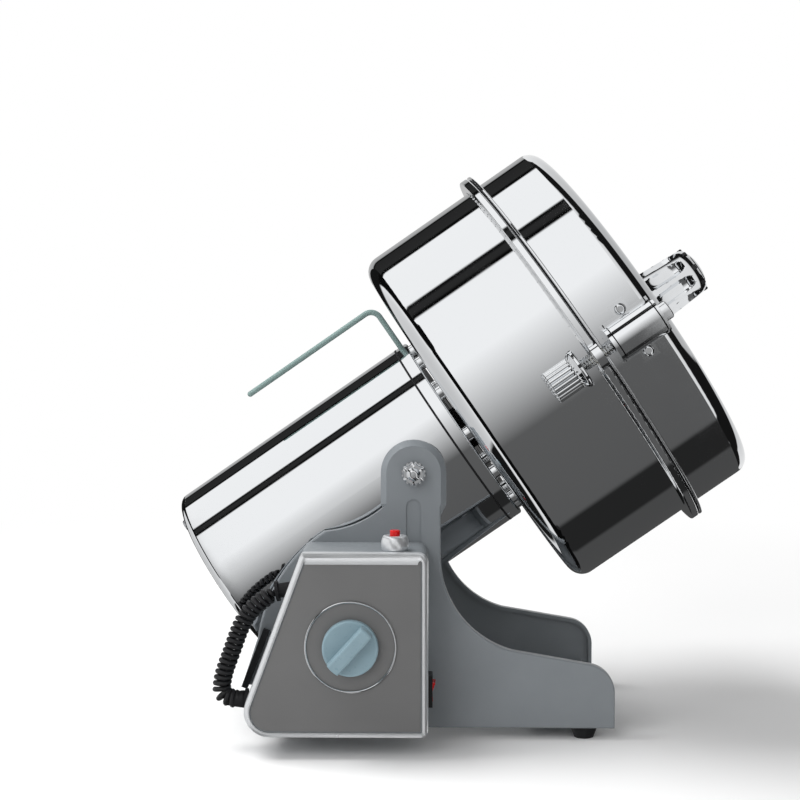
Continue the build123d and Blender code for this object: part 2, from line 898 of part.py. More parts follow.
with BuildPart() as end_bell:
    add(
        turned(
            [
                (front_bearing_at, bearing_r, 0),
                (front_bearing_at, bearing_housing_r, 0),
                (end_bell_front - web_thickness, bearing_housing_r + 2, 2),
                (end_bell_front - web_thickness, spigot_r - motor_wall, 0),
                (motor_seam - spigot_depth, spigot_r - motor_wall, 0),
                (motor_seam - spigot_depth, spigot_r, 0),
                (motor_seam, spigot_r, 0),
                (motor_seam, motor_r, seam_edge_r),
                (end_bell_front, motor_r, 1.2),
                (end_bell_front, seal_bore_r, 0),
                (front_bearing_end, seal_bore_r, 0),
                (front_bearing_end, bearing_r, 0),
            ]
        )
    )
    with BuildSketch(mill_face(end_bell_front)):
        with PolarLocations(bell_vent_circle, neck_post_count):
            SlotOverall(bell_vent_length, bell_vent_width)
        with PolarLocations(neck_post_circle, bowl_screw_count):
            Circle(bowl_screw_r)
    extrude(amount=-web_thickness, mode=Mode.SUBTRACT)
    with BuildSketch(handle_foot):
        Circle(handle_r)
    extrude(amount=-handle_socket, mode=Mode.SUBTRACT)
save(end_bell, "end_bell")

with BuildPart() as tilt_handle:
    with BuildLine(mill_side) as handle_line:
        FilletPolyline(
            (handle_at, motor_r - handle_socket),
            (handle_at, handle_out),
            (handle_at - handle_run, handle_out),
            radius=handle_bend_r,
        )
    with BuildSketch(handle_foot.offset(-handle_socket)):
        Circle(handle_r)
    sweep(path=handle_line.wires()[0])
    with Locations(mill_side.from_local_coords((handle_at - handle_run, handle_out, 0))):
        Sphere(handle_r)
save(tilt_handle, "tilt_handle")

with BuildPart() as rear_cover:
    add(
        turned(
            [
                (motor_rear, 0, 0),
                (motor_rear, motor_r, motor_edge_r),
                (motor_rear + cover_thickness, motor_r, 0),
                (motor_rear + cover_thickness, spigot_r, 0),
                (motor_rear + cover_thickness + spigot_depth, spigot_r, 0),
                (motor_rear + cover_thickness + spigot_depth, spigot_r - motor_wall, 0),
                (motor_rear + cover_thickness, spigot_r - motor_wall, 0),
                (motor_rear + cover_thickness, 0, 0),
            ]
        )
    )
    with BuildSketch(mill_face(motor_rear)):
        with PolarLocations(cover_vent_circle, cover_vents):
            SlotOverall(cover_vent_length, cover_vent_width)
        with PolarLocations(cover_screw_circle, cover_screw_count):
            Circle(cover_screw_r)
    extrude(amount=cover_thickness, mode=Mode.SUBTRACT)
save(rear_cover, "rear_cover")

rear_bearing_end = rear_bearing_at + bearing_width

with BuildPart() as cover_screws:
    with BuildSketch(mill_face(motor_rear - cover_screw_dome)):
        with PolarLocations(cover_screw_circle, cover_screw_count):
            Circle(2 * cover_screw_r)
    extrude(amount=cover_screw_dome)
    fillet(cover_screws.edges().group_by(spin_axis)[0], cover_screw_dome / 2)
    with BuildSketch(mill_face(motor_rear)):
        with PolarLocations(cover_screw_circle, cover_screw_count):
            Circle(cover_screw_r)
    extrude(amount=rear_bearing_end - motor_rear)
save(cover_screws, "cover_screws")

with BuildPart() as bearing_bracket:
    add(
        turned(
            [
                (rear_bearing_at - bearing_wall, bearing_r - bearing_wall, 0),
                (rear_bearing_at - bearing_wall, bearing_housing_r, 0),
                (rear_bearing_end - web_thickness, bearing_housing_r, 0),
                (rear_bearing_end - web_thickness, spigot_r, 0),
                (rear_bearing_end, spigot_r, 0),
                (rear_bearing_end, bearing_r, 0),
                (rear_bearing_at, bearing_r, 0),
                (rear_bearing_at, bearing_r - bearing_wall, 0),
            ]
        )
    )
    with BuildSketch(mill_face(rear_bearing_end)):
        with PolarLocations(bracket_window_circle, cover_screw_count, start_angle=60):
            Circle(bracket_window_r)
        with PolarLocations(cover_screw_circle, cover_screw_count):
            Circle(cover_screw_r)
    extrude(amount=-web_thickness, mode=Mode.SUBTRACT)
save(bearing_bracket, "bearing_bracket")

groove_outer_r, groove_inner_r = bearing_r - bearing_race, shaft_r + bearing_race

with BuildPart() as shaft_bearings:
    for bearing_start in (rear_bearing_at, front_bearing_at):
        bearing_end = bearing_start + bearing_width
        add(tube(bearing_start, bearing_end, bearing_r, shaft_r + running_gap))
        add(
            tube(bearing_start, bearing_start + bearing_groove, groove_outer_r, groove_inner_r),
            mode=Mode.SUBTRACT,
        )
        add(
            tube(bearing_end - bearing_groove, bearing_end, groove_outer_r, groove_inner_r),
            mode=Mode.SUBTRACT,
        )
save(shaft_bearings, "shaft_bearings")

window_slope = tan(radians(90 - pole_half_angle))
with BuildSketch() as winding_windows:
    for side in (-1, 1):
        Polygon(
            (0, 0),
            (side * motor_r, window_slope * motor_r),
            (side * motor_r, -window_slope * motor_r),
            align=None,
        )
    Circle(yoke_r, mode=Mode.INTERSECT)
    Circle(stack_bore_r, mode=Mode.SUBTRACT)

with BuildPart() as stator_core:
    with BuildSketch(mill_face(stack_start)):
        Circle(spigot_r)
        Circle(stack_bore_r, mode=Mode.SUBTRACT)
        add(winding_windows.sketch, mode=Mode.SUBTRACT)
    extrude(amount=stack_length)
save(stator_core, "stator_core")

with BuildPart() as field_windings:
    with BuildSketch(mill_face(stack_start - coil_overhang)):
        add(winding_windows.sketch)
        offset(amount=-slot_liner, mode=Mode.REPLACE)
    extrude(amount=stack_length + 2 * coil_overhang)
save(field_windings, "field_windings")

brush_at = commutator_start + commutator_length / 2
brush_along, brush_wide = brush_size
holder_inner_r = commutator_r + holder_wall
brush_face_r = commutator_r + body_gap

brush_plane = Plane(origin=mill_face(brush_at).origin, x_dir=mill_axis, z_dir=(0, -1, 0))

with BuildPart() as brush_holders:
    with BuildSketch(brush_plane):
        Rectangle(brush_along + 2 * holder_wall, brush_wide + 2 * holder_wall)
        Rectangle(brush_along, brush_wide, mode=Mode.SUBTRACT)
    extrude(amount=holder_outer_r)
    add(tube(commutator_start, commutator_start + commutator_length, holder_inner_r, 0),
        mode=Mode.SUBTRACT)
    leg_length = brush_at - brush_along / 2 - holder_wall - rear_bearing_end
    with BuildSketch(mill_face(rear_bearing_end)):
        with Locations((-(holder_outer_r + bearing_housing_r) / 2, 0)):
            Rectangle(holder_outer_r - bearing_housing_r, brush_wide)
    extrude(amount=leg_length)
    mirror(about=Plane.XZ)
save(brush_holders, "brush_holders")

with BuildPart() as carbon_brushes:
    with BuildSketch(brush_plane):
        Rectangle(brush_along, brush_wide)
    extrude(amount=holder_outer_r - 2 * holder_wall)
    add(tube(commutator_start, commutator_start + commutator_length, brush_face_r, 0),
        mode=Mode.SUBTRACT)
    mirror(about=Plane.XZ)
save(carbon_brushes, "carbon_brushes")

# ------------------------------------------------------------------ neck and bowl

rim_low = rim_plane - rim_thickness
bowl_floor = bowl_bottom + bowl_wall
clamp_places = [(-clamp_r, 0), (clamp_r, 0)]

with BuildPart() as neck_posts:
    with BuildSketch(mill_face(end_bell_front)):
        with PolarLocations(neck_post_circle, neck_post_count):
            Circle(neck_post_r)
        with PolarLocations(neck_post_circle, bowl_screw_count):
            Circle(bowl_screw_r, mode=Mode.SUBTRACT)
    extrude(amount=bowl_bottom - end_bell_front)
save(neck_posts, "neck_posts")

with BuildPart() as grinding_bowl:
    add(
        turned(
            [
                (bowl_bottom, seal_bore_r, 0),
                (bowl_bottom, bowl_r, bowl_corner_r),
                (rim_low, bowl_r, rim_root_r),
                (rim_low, rim_r, rim_edge_r),
                (rim_plane, rim_r, rim_edge_r),
                (rim_plane, bowl_inner_r, 0),
                (bowl_floor, bowl_inner_r, bowl_corner_r - bowl_wall),
                (bowl_floor, seal_bore_r, 0),
            ]
        )
    )
    with BuildSketch(mill_face(rim_low)):
        with Locations(*clamp_places):
            Circle(lug_r)
        with Locations((-(bowl_r + clamp_r) / 2, 0), ((bowl_r + clamp_r) / 2, 0)):
            Rectangle(clamp_r - bowl_r, 2 * lug_r)
    extrude(amount=rim_thickness)
    with BuildSketch(mill_face(rim_low)):
        with Locations(*clamp_places):
            Circle(clamp_bush_r)
    extrude(amount=rim_thickness, mode=Mode.SUBTRACT)
    with BuildSketch(mill_face(bowl_bottom)):
        with PolarLocations(neck_post_circle, bowl_screw_count):
            Circle(bowl_screw_r)
    extrude(amount=bowl_wall, mode=Mode.SUBTRACT)
save(grinding_bowl, "grinding_bowl")

with BuildPart() as bowl_screws:
    with BuildSketch(mill_face(bowl_floor)):
        with PolarLocations(neck_post_circle, bowl_screw_count):
            Circle(bowl_screw_head_r)
    extrude(amount=bowl_screw_head)
    fillet(bowl_screws.edges().group_by(spin_axis)[-1], bowl_screw_head / 2)
    with BuildSketch(mill_face(bowl_floor)):
        with PolarLocations(neck_post_circle, bowl_screw_count):
            Circle(bowl_screw_r)
    extrude(amount=end_bell_front - web_thickness - bowl_floor)
save(bowl_screws, "bowl_screws")

with BuildPart() as shaft_seal:
    add(tube(front_bearing_end, bowl_floor, seal_bore_r, shaft_r + running_gap))
    add(tube(bowl_floor, bowl_floor + seal_lip_height, seal_bore_r + seal_flange, shaft_r + running_gap))
save(shaft_seal, "shaft_seal")

with BuildPart() as clamp_bushes:
    with BuildSketch(mill_face(rim_low)):
        with Locations(*clamp_places):
            Circle(clamp_bush_r)
            Circle(clamp_rod_r + running_gap, mode=Mode.SUBTRACT)
    extrude(amount=rim_thickness)
save(clamp_bushes, "clamp_bushes")

# ------------------------------------------------------------------ rotor

armature_r = stack_bore_r - air_gap
stack_end = stack_start + stack_length
shaft_shoulder = blade_along[0] - blade_thickness
blade_nut_at = blade_along[-1] + blade_thickness
shaft_end = blade_nut_at + blade_nut_height + shaft_past_nut

with BuildPart() as motor_shaft:
    add(
        turned(
            [
                (rear_bearing_at - bearing_wall, 0, 0),
                (rear_bearing_at - bearing_wall, shaft_r, 0.5),
                (shaft_shoulder, shaft_r, 0),
                (shaft_shoulder, blade_seat_r, 0),
                (shaft_end, blade_seat_r, 0.8),
                (shaft_end, 0, 0),
            ]
        )
    )
save(motor_shaft, "motor_shaft")

with BuildPart() as armature:
    with BuildSketch(mill_face(stack_start)):
        Circle(armature_r)
        Circle(shaft_r, mode=Mode.SUBTRACT)
        with PolarLocations(armature_r, armature_slots):
            Rectangle(2 * armature_slot_depth, armature_slot_width, mode=Mode.SUBTRACT)
    extrude(amount=stack_length)
save(armature, "armature")

with BuildPart() as armature_winding:
    winding_r = armature_r - armature_slot_depth / 2
    add(tube(stack_start - coil_overhang, stack_start, winding_r, shaft_r))
    add(tube(stack_end, stack_end + coil_overhang, winding_r, shaft_r))
save(armature_winding, "armature_winding")

with BuildPart() as commutator:
    with BuildSketch(mill_face(commutator_start)):
        Circle(commutator_r)
        Circle(shaft_r, mode=Mode.SUBTRACT)
        with PolarLocations(commutator_r, commutator_bars):
            Rectangle(2 * commutator_slot_depth, commutator_slot, mode=Mode.SUBTRACT)
    extrude(amount=commutator_length)
save(commutator, "commutator")

with BuildPart() as cooling_fan:
    add(tube(fan_start, fan_start + fan_width, fan_hub_r, shaft_r))
    add(tube(fan_start, fan_start + fan_plate, fan_r, shaft_r))
    with BuildSketch(mill_face(fan_start)):
        with PolarLocations((fan_hub_r + fan_r) / 2, fan_blades):
            Rectangle(fan_r - fan_hub_r + 2 * fan_root, fan_plate)
        Circle(fan_r, mode=Mode.INTERSECT)
    extrude(amount=fan_width)
save(cooling_fan, "cooling_fan")


def blade(along, reach, turn):
    """A flat two-ended blade on the shaft's seat, narrowed towards its tips."""
    with BuildPart() as piece:
        with BuildSketch(mill_face(along)):
            Polygon(
                (-reach, -blade_tip_width / 2),
                (-spacer_r, -blade_width / 2),
                (spacer_r, -blade_width / 2),
                (reach, blade_tip_width / 2),
                (spacer_r, blade_width / 2),
                (-spacer_r, blade_width / 2),
                rotation=turn,
                align=None,
            )
            Circle(blade_seat_r, mode=Mode.SUBTRACT)
        extrude(amount=blade_thickness)
    return piece


blade_names = ("lower_blade", "middle_blade", "upper_blade")
for blade_name, along, reach, turn in zip(blade_names, blade_along, blade_reach, blade_turn):
    save(blade(along, reach, turn), blade_name)

with BuildPart() as blade_spacers:
    spacer_starts = [shaft_shoulder] + [along + blade_thickness for along in blade_along[:-1]]
    for spacer_start, spacer_end in zip(spacer_starts, blade_along):
        add(tube(spacer_start, spacer_end, spacer_r, blade_seat_r))
save(blade_spacers, "blade_spacers")

with BuildPart() as blade_nut:
    with BuildSketch(mill_face(blade_nut_at)):
        RegularPolygon(blade_nut_across_flats / 2, 6, major_radius=False)
        Circle(blade_seat_r, mode=Mode.SUBTRACT)
    extrude(amount=blade_nut_height)
save(blade_nut, "blade_nut")

# ------------------------------------------------------------------ lid

lid_low = rim_plane + seal_thickness
lid_inner_face = lid_face - bowl_wall
seal_r = bowl_inner_r - body_gap
saddle_middle = (housing_start + housing_end) / 2
saddle_outer_r = bowl_r + saddle_thickness
saddle_screw_out = sqrt(saddle_outer_r**2 - (saddle_screw_offset - saddle_screw_r) ** 2)

with BuildPart() as saddle_screw_holes:
    for offset_up in (-saddle_screw_offset, saddle_screw_offset):
        with BuildSketch(mill_side):
            with Locations((saddle_middle, offset_up)):
                Circle(saddle_shank_r)
        extrude(amount=saddle_screw_out, both=True)
    add(tube(housing_start, housing_end, bowl_inner_r - saddle_shank_length, 0),
        mode=Mode.SUBTRACT)

with BuildPart() as lid:
    add(
        turned(
            [
                (lid_low, bowl_inner_r, 0),
                (lid_low, rim_r, lid_rim_edge_r),
                (lid_low + lid_rim_thickness, rim_r, lid_rim_edge_r),
                (lid_low + lid_rim_thickness, bowl_r, 0),
                (lid_face, bowl_r, lid_corner_r),
                (lid_face, lid_knob_screw_r, 0),
                (lid_inner_face, lid_knob_screw_r, 0),
                (lid_inner_face, bowl_inner_r, lid_corner_r - bowl_wall),
            ]
        )
    )
    add(saddle_screw_holes.part, mode=Mode.SUBTRACT)
save(lid, "lid")

with BuildPart() as lid_seal:
    add(
        turned(
            [
                (rim_plane - seal_lip, seal_r - seal_lip_width, 0),
                (rim_plane - seal_lip, seal_r, 0.5),
                (rim_plane, seal_r, 0),
                (rim_plane, rim_r - seal_lip_width, 0),
                (lid_low, rim_r - seal_lip_width, 0),
                (lid_low, seal_r, 0),
                (lid_low + seal_lip, seal_r, 0.5),
                (lid_low + seal_lip, seal_r - seal_lip_width, 0),
            ]
        )
    )
save(lid_seal, "lid_seal")

flute_start = lid_face + lid_knob_flute_inset
flute_length = lid_knob_end - lid_knob_crown - lid_knob_flute_inset / 2 - flute_start

with BuildPart(mill_face(flute_start)) as knob_flutes:
    with PolarLocations(lid_knob_r + lid_knob_flute_r / 3, lid_knob_lobes):
        Cylinder(lid_knob_flute_r, flute_length, align=(Align.CENTER, Align.CENTER, Align.MIN))
        Sphere(lid_knob_flute_r)
with BuildPart(mill_face(flute_start + flute_length)) as knob_flute_ends:
    with PolarLocations(lid_knob_r + lid_knob_flute_r / 3, lid_knob_lobes):
        Sphere(lid_knob_flute_r)

with BuildPart() as lid_knob:
    add(
        turned(
            [
                (lid_face, 0, 0),
                (lid_face, lid_knob_r - 1, 1),
                (lid_face + lid_knob_flute_inset, lid_knob_r, 3),
                (lid_knob_end - lid_knob_crown, lid_knob_crown_r + 1.5, 1.5),
                (lid_knob_end - lid_knob_crown / 2, lid_knob_crown_r, 1.5),
                (lid_knob_end, lid_knob_crown_r / 2, lid_knob_crown),
                (lid_knob_end, 0, 0),
            ]
        )
    )
    add(knob_flutes.part, mode=Mode.SUBTRACT)
    add(knob_flute_ends.part, mode=Mode.SUBTRACT)
    with BuildSketch(mill_face(lid_face)):
        Circle(lid_knob_screw_r)
    extrude(amount=lid_knob_screw_length, mode=Mode.SUBTRACT)
save(lid_knob, "lid_knob")

with BuildPart() as lid_knob_screw:
    with BuildSketch(mill_face(lid_inner_face)):
        RegularPolygon(nut_across_flats / 2, 6, major_radius=False)
    extrude(amount=-lid_knob_screw_r)
    with BuildSketch(mill_face(lid_inner_face)):
        Circle(lid_knob_screw_r)
    extrude(amount=lid_knob_screw_length)
save(lid_knob_screw, "lid_knob_screw")

# ------------------------------------------------------------------ clamps

housing_length = housing_end - housing_start
with BuildSketch() as housing_outline:
    with Locations(*clamp_places):
        Circle(housing_r)
    with Locations((-(bowl_inner_r + clamp_r) / 2, 0), ((bowl_inner_r + clamp_r) / 2, 0)):
        Rectangle(clamp_r - bowl_inner_r, 2 * housing_r)

score_out = clamp_r + sqrt(housing_r**2 - housing_score_up**2)
ear_half_width = saddle_screw_offset + saddle_ear_r
saddle_strips = (  # half width, start and end
    (saddle_half_width, housing_start, housing_end),
    (ear_half_width, saddle_middle - saddle_ear_r, saddle_middle + saddle_ear_r),
)

with BuildPart() as clamp_housings:
    with BuildSketch(mill_face(housing_start)):
        add(housing_outline.sketch)
        Circle(bowl_r, mode=Mode.SUBTRACT)
    extrude(amount=housing_length)
    for line_at in (housing_start + housing_line_inset, housing_end - housing_line_inset):
        with BuildSketch(mill_face(line_at)):
            add(housing_outline.sketch)
            offset(amount=-housing_line, mode=Mode.SUBTRACT)
        extrude(amount=housing_line, mode=Mode.SUBTRACT)
    with BuildSketch(mill_face(housing_start)):
        with Locations((-score_out, housing_score_up), (score_out, housing_score_up)):
            Rectangle(2 * housing_line, housing_line)
    extrude(amount=housing_length, mode=Mode.SUBTRACT)
    with BuildSketch(mill_face(housing_end)):
        with Locations(*clamp_places):
            Circle(housing_cap_r)
    extrude(amount=housing_cap_end - housing_end)
    fillet(clamp_housings.edges().group_by(spin_axis)[-1], housing_cap_edge_r)
    with BuildSketch(mill_face(housing_start)):
        with Locations(*clamp_places):
            Circle(clamp_rod_r + running_gap)
    extrude(amount=rod_end + body_gap - housing_start, mode=Mode.SUBTRACT)
    for half_width, start, end in saddle_strips:
        with BuildSketch(mill_face(start)):
            Circle(saddle_outer_r)
            Rectangle(2 * saddle_outer_r, 2 * half_width, mode=Mode.INTERSECT)
            Circle(bowl_r, mode=Mode.SUBTRACT)
            add(housing_outline.sketch, mode=Mode.SUBTRACT)
        extrude(amount=end - start)
    add(saddle_screw_holes.part, mode=Mode.SUBTRACT)
save(clamp_housings, "clamp_housings")

with BuildPart() as saddle_screws:
    for offset_up in (-saddle_screw_offset, saddle_screw_offset):
        with BuildSketch(mill_side.offset(saddle_screw_out)):
            with Locations((saddle_middle, offset_up)):
                Circle(saddle_screw_r)
        extrude(amount=saddle_screw_dome)
    fillet(saddle_screws.edges().group_by(Axis.Y)[0], saddle_screw_dome * 0.8)
    mirror(about=Plane.XZ)
    add(saddle_screw_holes.part)
save(saddle_screws, "saddle_screws")


def thumbscrew(side):
    """A knurled knob with a collar and its threaded rod, on the near (-1) or far (1) side."""
    place = (side * clamp_r, 0)
    with BuildPart() as piece:
        with BuildSketch(mill_face(thumb_start)):
            with Locations(place):
                Circle(thumb_r)
                with PolarLocations(thumb_r, thumb_ribs):
                    Circle(thumb_groove_r, mode=Mode.SUBTRACT)
        extrude(amount=thumb_length)
        with BuildSketch(mill_face(thumb_start + thumb_length)):
            with Locations(place):
                Circle(thumb_r - thumb_groove_r)
        with BuildSketch(mill_face(collar_top - collar_thickness)):
            with Locations(place):
                Circle(collar_r)
        loft()
        with BuildSketch(mill_face(collar_top - collar_thickness)):
            with Locations(place):
                Circle(collar_r)
        extrude(amount=collar_thickness)
        with BuildSketch(mill_face(collar_top)):
            with Locations(place):
                Circle(clamp_rod_r)
        extrude(amount=rod_end - collar_top)
    return piece


save(thumbscrew(-1), "thumbscrew_near")
save(thumbscrew(1), "thumbscrew_far")
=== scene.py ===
"""Looks of an electric grain mill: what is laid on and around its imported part.

The finishes come first, then the fine pieces, the coiled cord, the studio and the camera.

Values that end in _mm are millimetres and are used through MM. Other lengths are metres.
"Along" is a distance on the mill axis from the pivot, "across" and "above" are distances
from the pivot on X and Z, as in the part's own source.
"""

import json
from math import asin, cos, pi, radians, sin

import bmesh
import bpy
from mathutils import Matrix, Vector


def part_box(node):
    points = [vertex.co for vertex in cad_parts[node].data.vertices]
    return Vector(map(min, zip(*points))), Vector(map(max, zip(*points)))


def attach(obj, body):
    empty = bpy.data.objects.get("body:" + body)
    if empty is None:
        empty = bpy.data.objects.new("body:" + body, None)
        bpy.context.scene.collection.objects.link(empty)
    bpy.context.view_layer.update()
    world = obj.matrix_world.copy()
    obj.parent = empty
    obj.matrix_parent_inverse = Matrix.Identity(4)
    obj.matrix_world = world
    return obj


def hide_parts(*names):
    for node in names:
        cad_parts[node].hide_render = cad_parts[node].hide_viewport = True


MM = 0.001

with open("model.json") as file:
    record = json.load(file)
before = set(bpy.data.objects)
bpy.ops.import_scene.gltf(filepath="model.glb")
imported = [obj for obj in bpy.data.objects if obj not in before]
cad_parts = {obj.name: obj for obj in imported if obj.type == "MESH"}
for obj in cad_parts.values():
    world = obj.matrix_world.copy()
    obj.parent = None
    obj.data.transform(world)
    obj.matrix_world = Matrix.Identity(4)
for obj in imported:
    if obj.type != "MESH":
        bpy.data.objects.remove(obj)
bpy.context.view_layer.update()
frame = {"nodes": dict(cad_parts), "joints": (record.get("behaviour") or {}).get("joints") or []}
nodes = frame["nodes"]
joints = {joint["name"]: joint for joint in frame["joints"]}

# ------------------------------------------------------------------ the shared frame

pivot = Vector(joints["mill_tilt"]["pos_m"])
mill_axis = Vector(joints["rotor_spin"]["axis"]).normalized()
across_axis = Vector((0, 1, 0))
mill_up = mill_axis.cross(across_axis)


def mill_place(along_mm, across_mm=0.0):
    """A matrix whose local z is the mill axis, local x is +Y and local y points up and back."""
    origin = pivot + mill_axis * along_mm * MM + across_axis * across_mm * MM
    turn = Matrix((across_axis, mill_up, mill_axis)).transposed()
    return Matrix.Translation(origin) @ turn.to_4x4()


# ------------------------------------------------------------------ shader helpers

noise_reach = (0.3, 0.7)  # what a noise value mostly lies between


def add_node(tree, kind, inputs=None, **settings):
    """Adds a shader node, sets its properties, and fills inputs from values or sockets."""
    node = tree.nodes.new("ShaderNode" + kind)
    for name, value in settings.items():
        setattr(node, name, value)
    for key, value in (inputs or {}).items():
        if isinstance(value, bpy.types.NodeSocket):
            tree.links.new(value, node.inputs[key])
        else:
            node.inputs[key].default_value = value
    return node


def calculate(tree, operation, first, second=0.0, third=0.0):
    """The result of one Math node."""
    return add_node(tree, "Math", {0: first, 1: second, 2: third}, operation=operation).outputs[0]


def component(tree, direction, axis):
    """How far a vector reaches along an axis."""
    product = add_node(tree, "VectorMath", {0: direction, 1: axis}, operation="DOT_PRODUCT")
    return product.outputs["Value"]


def mix_colors(tree, share, first, second):
    """The first colour at share 0, and the second at share 1."""
    mix = add_node(tree, "Mix", {"Factor": share, 6: first, 7: second}, data_type="RGBA")
    return mix.outputs[2]


def srgb(red, green, blue):
    """A colour given as 0-255 display values, as linear RGBA."""
    linear = []
    for level in (red, green, blue):
        share = level / 255
        linear.append(share / 12.92 if share <= 0.04045 else ((share + 0.055) / 1.055) ** 2.4)
    return (*linear, 1.0)


def principled(name, color, metallic=0.0, roughness=0.5, gloss=0.5):
    """A material with one Principled shader; gloss is its Specular IOR Level."""
    material = bpy.data.materials.new(name)
    material.use_nodes = True
    inputs = material.node_tree.nodes["Principled BSDF"].inputs
    inputs["Base Color"].default_value = color
    inputs["Metallic"].default_value = metallic
    inputs["Roughness"].default_value = roughness
    inputs["Specular IOR Level"].default_value = gloss
    return material


def link_to_shader(material, value, socket):
    """Feeds a value into the material's Principled shader."""
    tree = material.node_tree
    tree.links.new(value, tree.nodes["Principled BSDF"].inputs[socket])


def noise(tree, scale, detail=3.0, stretch=(1, 1, 1)):
    """A noise texture's value, on object coordinates in metres that are stretched per axis."""
    coords = add_node(tree, "TexCoord").outputs["Object"]
    place = add_node(tree, "Mapping", {"Vector": coords, "Scale": stretch}).outputs["Vector"]
    texture = add_node(tree, "TexNoise", {"Vector": place, "Scale": scale, "Detail": detail})
    return texture.outputs["Fac"]


def spread(tree, value, low, high):
    """Maps a noise value onto low to high."""
    start, end = noise_reach
    mapped = add_node(
        tree,
        "MapRange",
        {"Value": value, "From Min": start, "From Max": end, "To Min": low, "To Max": high},
    )
    return mapped.outputs["Result"]


def vary_roughness(material, scale, low, high, stretch=(1, 1, 1)):
    """Uneven gloss, as handling and polishing leave it."""
    tree = material.node_tree
    value = spread(tree, noise(tree, scale, stretch=stretch), low, high)
    link_to_shader(material, value, "Roughness")


def vary_color(material, scale, dark, light):
    """Blotches between two near colours."""
    tree = material.node_tree
    share = spread(tree, noise(tree, scale), 0.0, 1.0)
    link_to_shader(material, mix_colors(tree, share, dark, light), "Base Color")


def add_bump(material, scale, depth, stretch=(1, 1, 1)):
    """A fine relief of the given depth in metres."""
    tree = material.node_tree
    height = noise(tree, scale, 2.0, stretch)
    bump = add_node(tree, "Bump", {"Height": height, "Distance": depth, "Strength": 1.0})
    link_to_shader(material, bump.outputs["Normal"], "Normal")


# ------------------------------------------------------------------ materials

chrome_tone = (238, 240, 242)
# painted shade: the near-black laid over the clamp housings' score grooves
groove_shade_tone = (8, 8, 9)
score_half_width_mm = 0.3
scored_rounds_mm = (123.35, 147.95)  # along the mill axis
scored_line_mm = 5.6  # above the axis
scored_line_inner_mm = 120.0  # the lengthwise line lies further out than this


def mirror_steel(name="mirror_steel", tone=(236, 238, 240), low=0.015, high=0.055):
    """Mirror-polished stainless steel with faint smudges."""
    material = principled(name, srgb(*tone), metallic=1.0, roughness=0.03)
    vary_roughness(material, 60, low, high)
    return material


def brushed_steel(name="brushed_steel"):
    """Plated steel with a fine grain."""
    material = principled(name, srgb(205, 207, 210), metallic=1.0, roughness=0.28)
    vary_roughness(material, 900, 0.18, 0.36)
    add_bump(material, 2400, 0.00002)
    return material


def satin_trim():
    """Bright worn metal of the control box's rim."""
    material = principled("bright_trim", srgb(*chrome_tone), metallic=0.75, roughness=0.32)
    vary_roughness(material, 60, 0.27, 0.37)
    return material


def stand_paint():
    """Grey enamel on pressed steel: slight mottling and orange peel."""
    material = principled("stand_paint", srgb(127, 132, 136), roughness=0.38, gloss=0.45)
    vary_color(material, 26, srgb(123, 128, 132), srgb(131, 136, 140))
    vary_roughness(material, 300, 0.34, 0.46)
    add_bump(material, 1400, 0.00003)
    return material


def panel_satin():
    """The dark satin field of the control panel, brushed sideways."""
    material = principled("panel_satin", srgb(104, 104, 104), roughness=0.42, gloss=0.4)
    vary_color(material, 14, srgb(101, 101, 101), srgb(108, 108, 108))
    vary_roughness(material, 500, 0.38, 0.5, stretch=(0.05, 1, 1))
    add_bump(material, 1500, 0.00001, stretch=(0.03, 1, 1))
    return material


def plastic(name, color, rough=(0.3, 0.42), grain=0.00002):
    """Moulded plastic with a fine spark-eroded grain."""
    material = principled(name, srgb(*color), roughness=rough[0])
    dark = srgb(*[max(level - 4, 0) for level in color])
    light = srgb(*[min(level + 4, 255) for level in color])
    vary_color(material, 40, dark, light)
    vary_roughness(material, 700, *rough)
    add_bump(material, 1800, grain)
    return material


def rubber(name, color):
    """Matt rubber, a little dusty."""
    material = principled(name, srgb(*color), roughness=0.6, gloss=0.35)
    dusty = srgb(*[level + 9 for level in color])
    vary_color(material, 120, srgb(*color), dusty)
    vary_roughness(material, 260, 0.5, 0.75)
    add_bump(material, 2600, 0.00004)
    return material


def copper():
    """Enamelled winding wire, seen as close-laid turns."""
    material = principled("copper", srgb(196, 112, 62), metallic=1.0, roughness=0.35)
    add_bump(material, 1600, 0.00025, stretch=(0.1, 1, 1))
    vary_color(material, 180, srgb(176, 94, 50), srgb(206, 124, 72))
    return material


def laminated_iron():
    """A stack of punched sheets, dull and uneven."""
    material = principled("laminated_iron", srgb(96, 97, 100), metallic=1.0, roughness=0.45)
    vary_color(material, 300, srgb(84, 85, 88), srgb(110, 111, 114))
    add_bump(material, 900, 0.0002)
    return material


def scored_chrome_painted_shade():
    """Clamp housing chrome with painted shade: black over its scores round both ends and one
    lengthwise.
    """
    material = mirror_steel("scored_chrome_painted_shade", chrome_tone, 0.03, 0.09)
    tree = material.node_tree
    to_part = nodes["clamp_housings"].matrix_world.inverted()
    place = add_node(tree, "TexCoord").outputs["Object"]
    offset = add_node(tree, "VectorMath", {0: place, 1: to_part @ pivot}, operation="SUBTRACT")
    along, up, out = [
        component(tree, offset.outputs[0], to_part.to_3x3() @ axis)
        for axis in (mill_axis, mill_up, across_axis)
    ]

    def near(value, middle_mm):
        """1 within the score's width of a value, and 0 away from it."""
        return calculate(tree, "COMPARE", value, middle_mm * MM, score_half_width_mm * MM)

    distance_out = calculate(tree, "ABSOLUTE", out)
    on_barrel = calculate(tree, "GREATER_THAN", distance_out, scored_line_inner_mm * MM)
    line = calculate(tree, "MULTIPLY", near(up, scored_line_mm), on_barrel)
    for middle_mm in scored_rounds_mm:
        line = calculate(tree, "MAXIMUM", line, near(along, middle_mm))
    # painted shade: the base colour goes near black along the score grooves
    color = mix_colors(tree, line, srgb(*chrome_tone), srgb(*groove_shade_tone))
    link_to_shader(material, color, "Base Color")
    return material


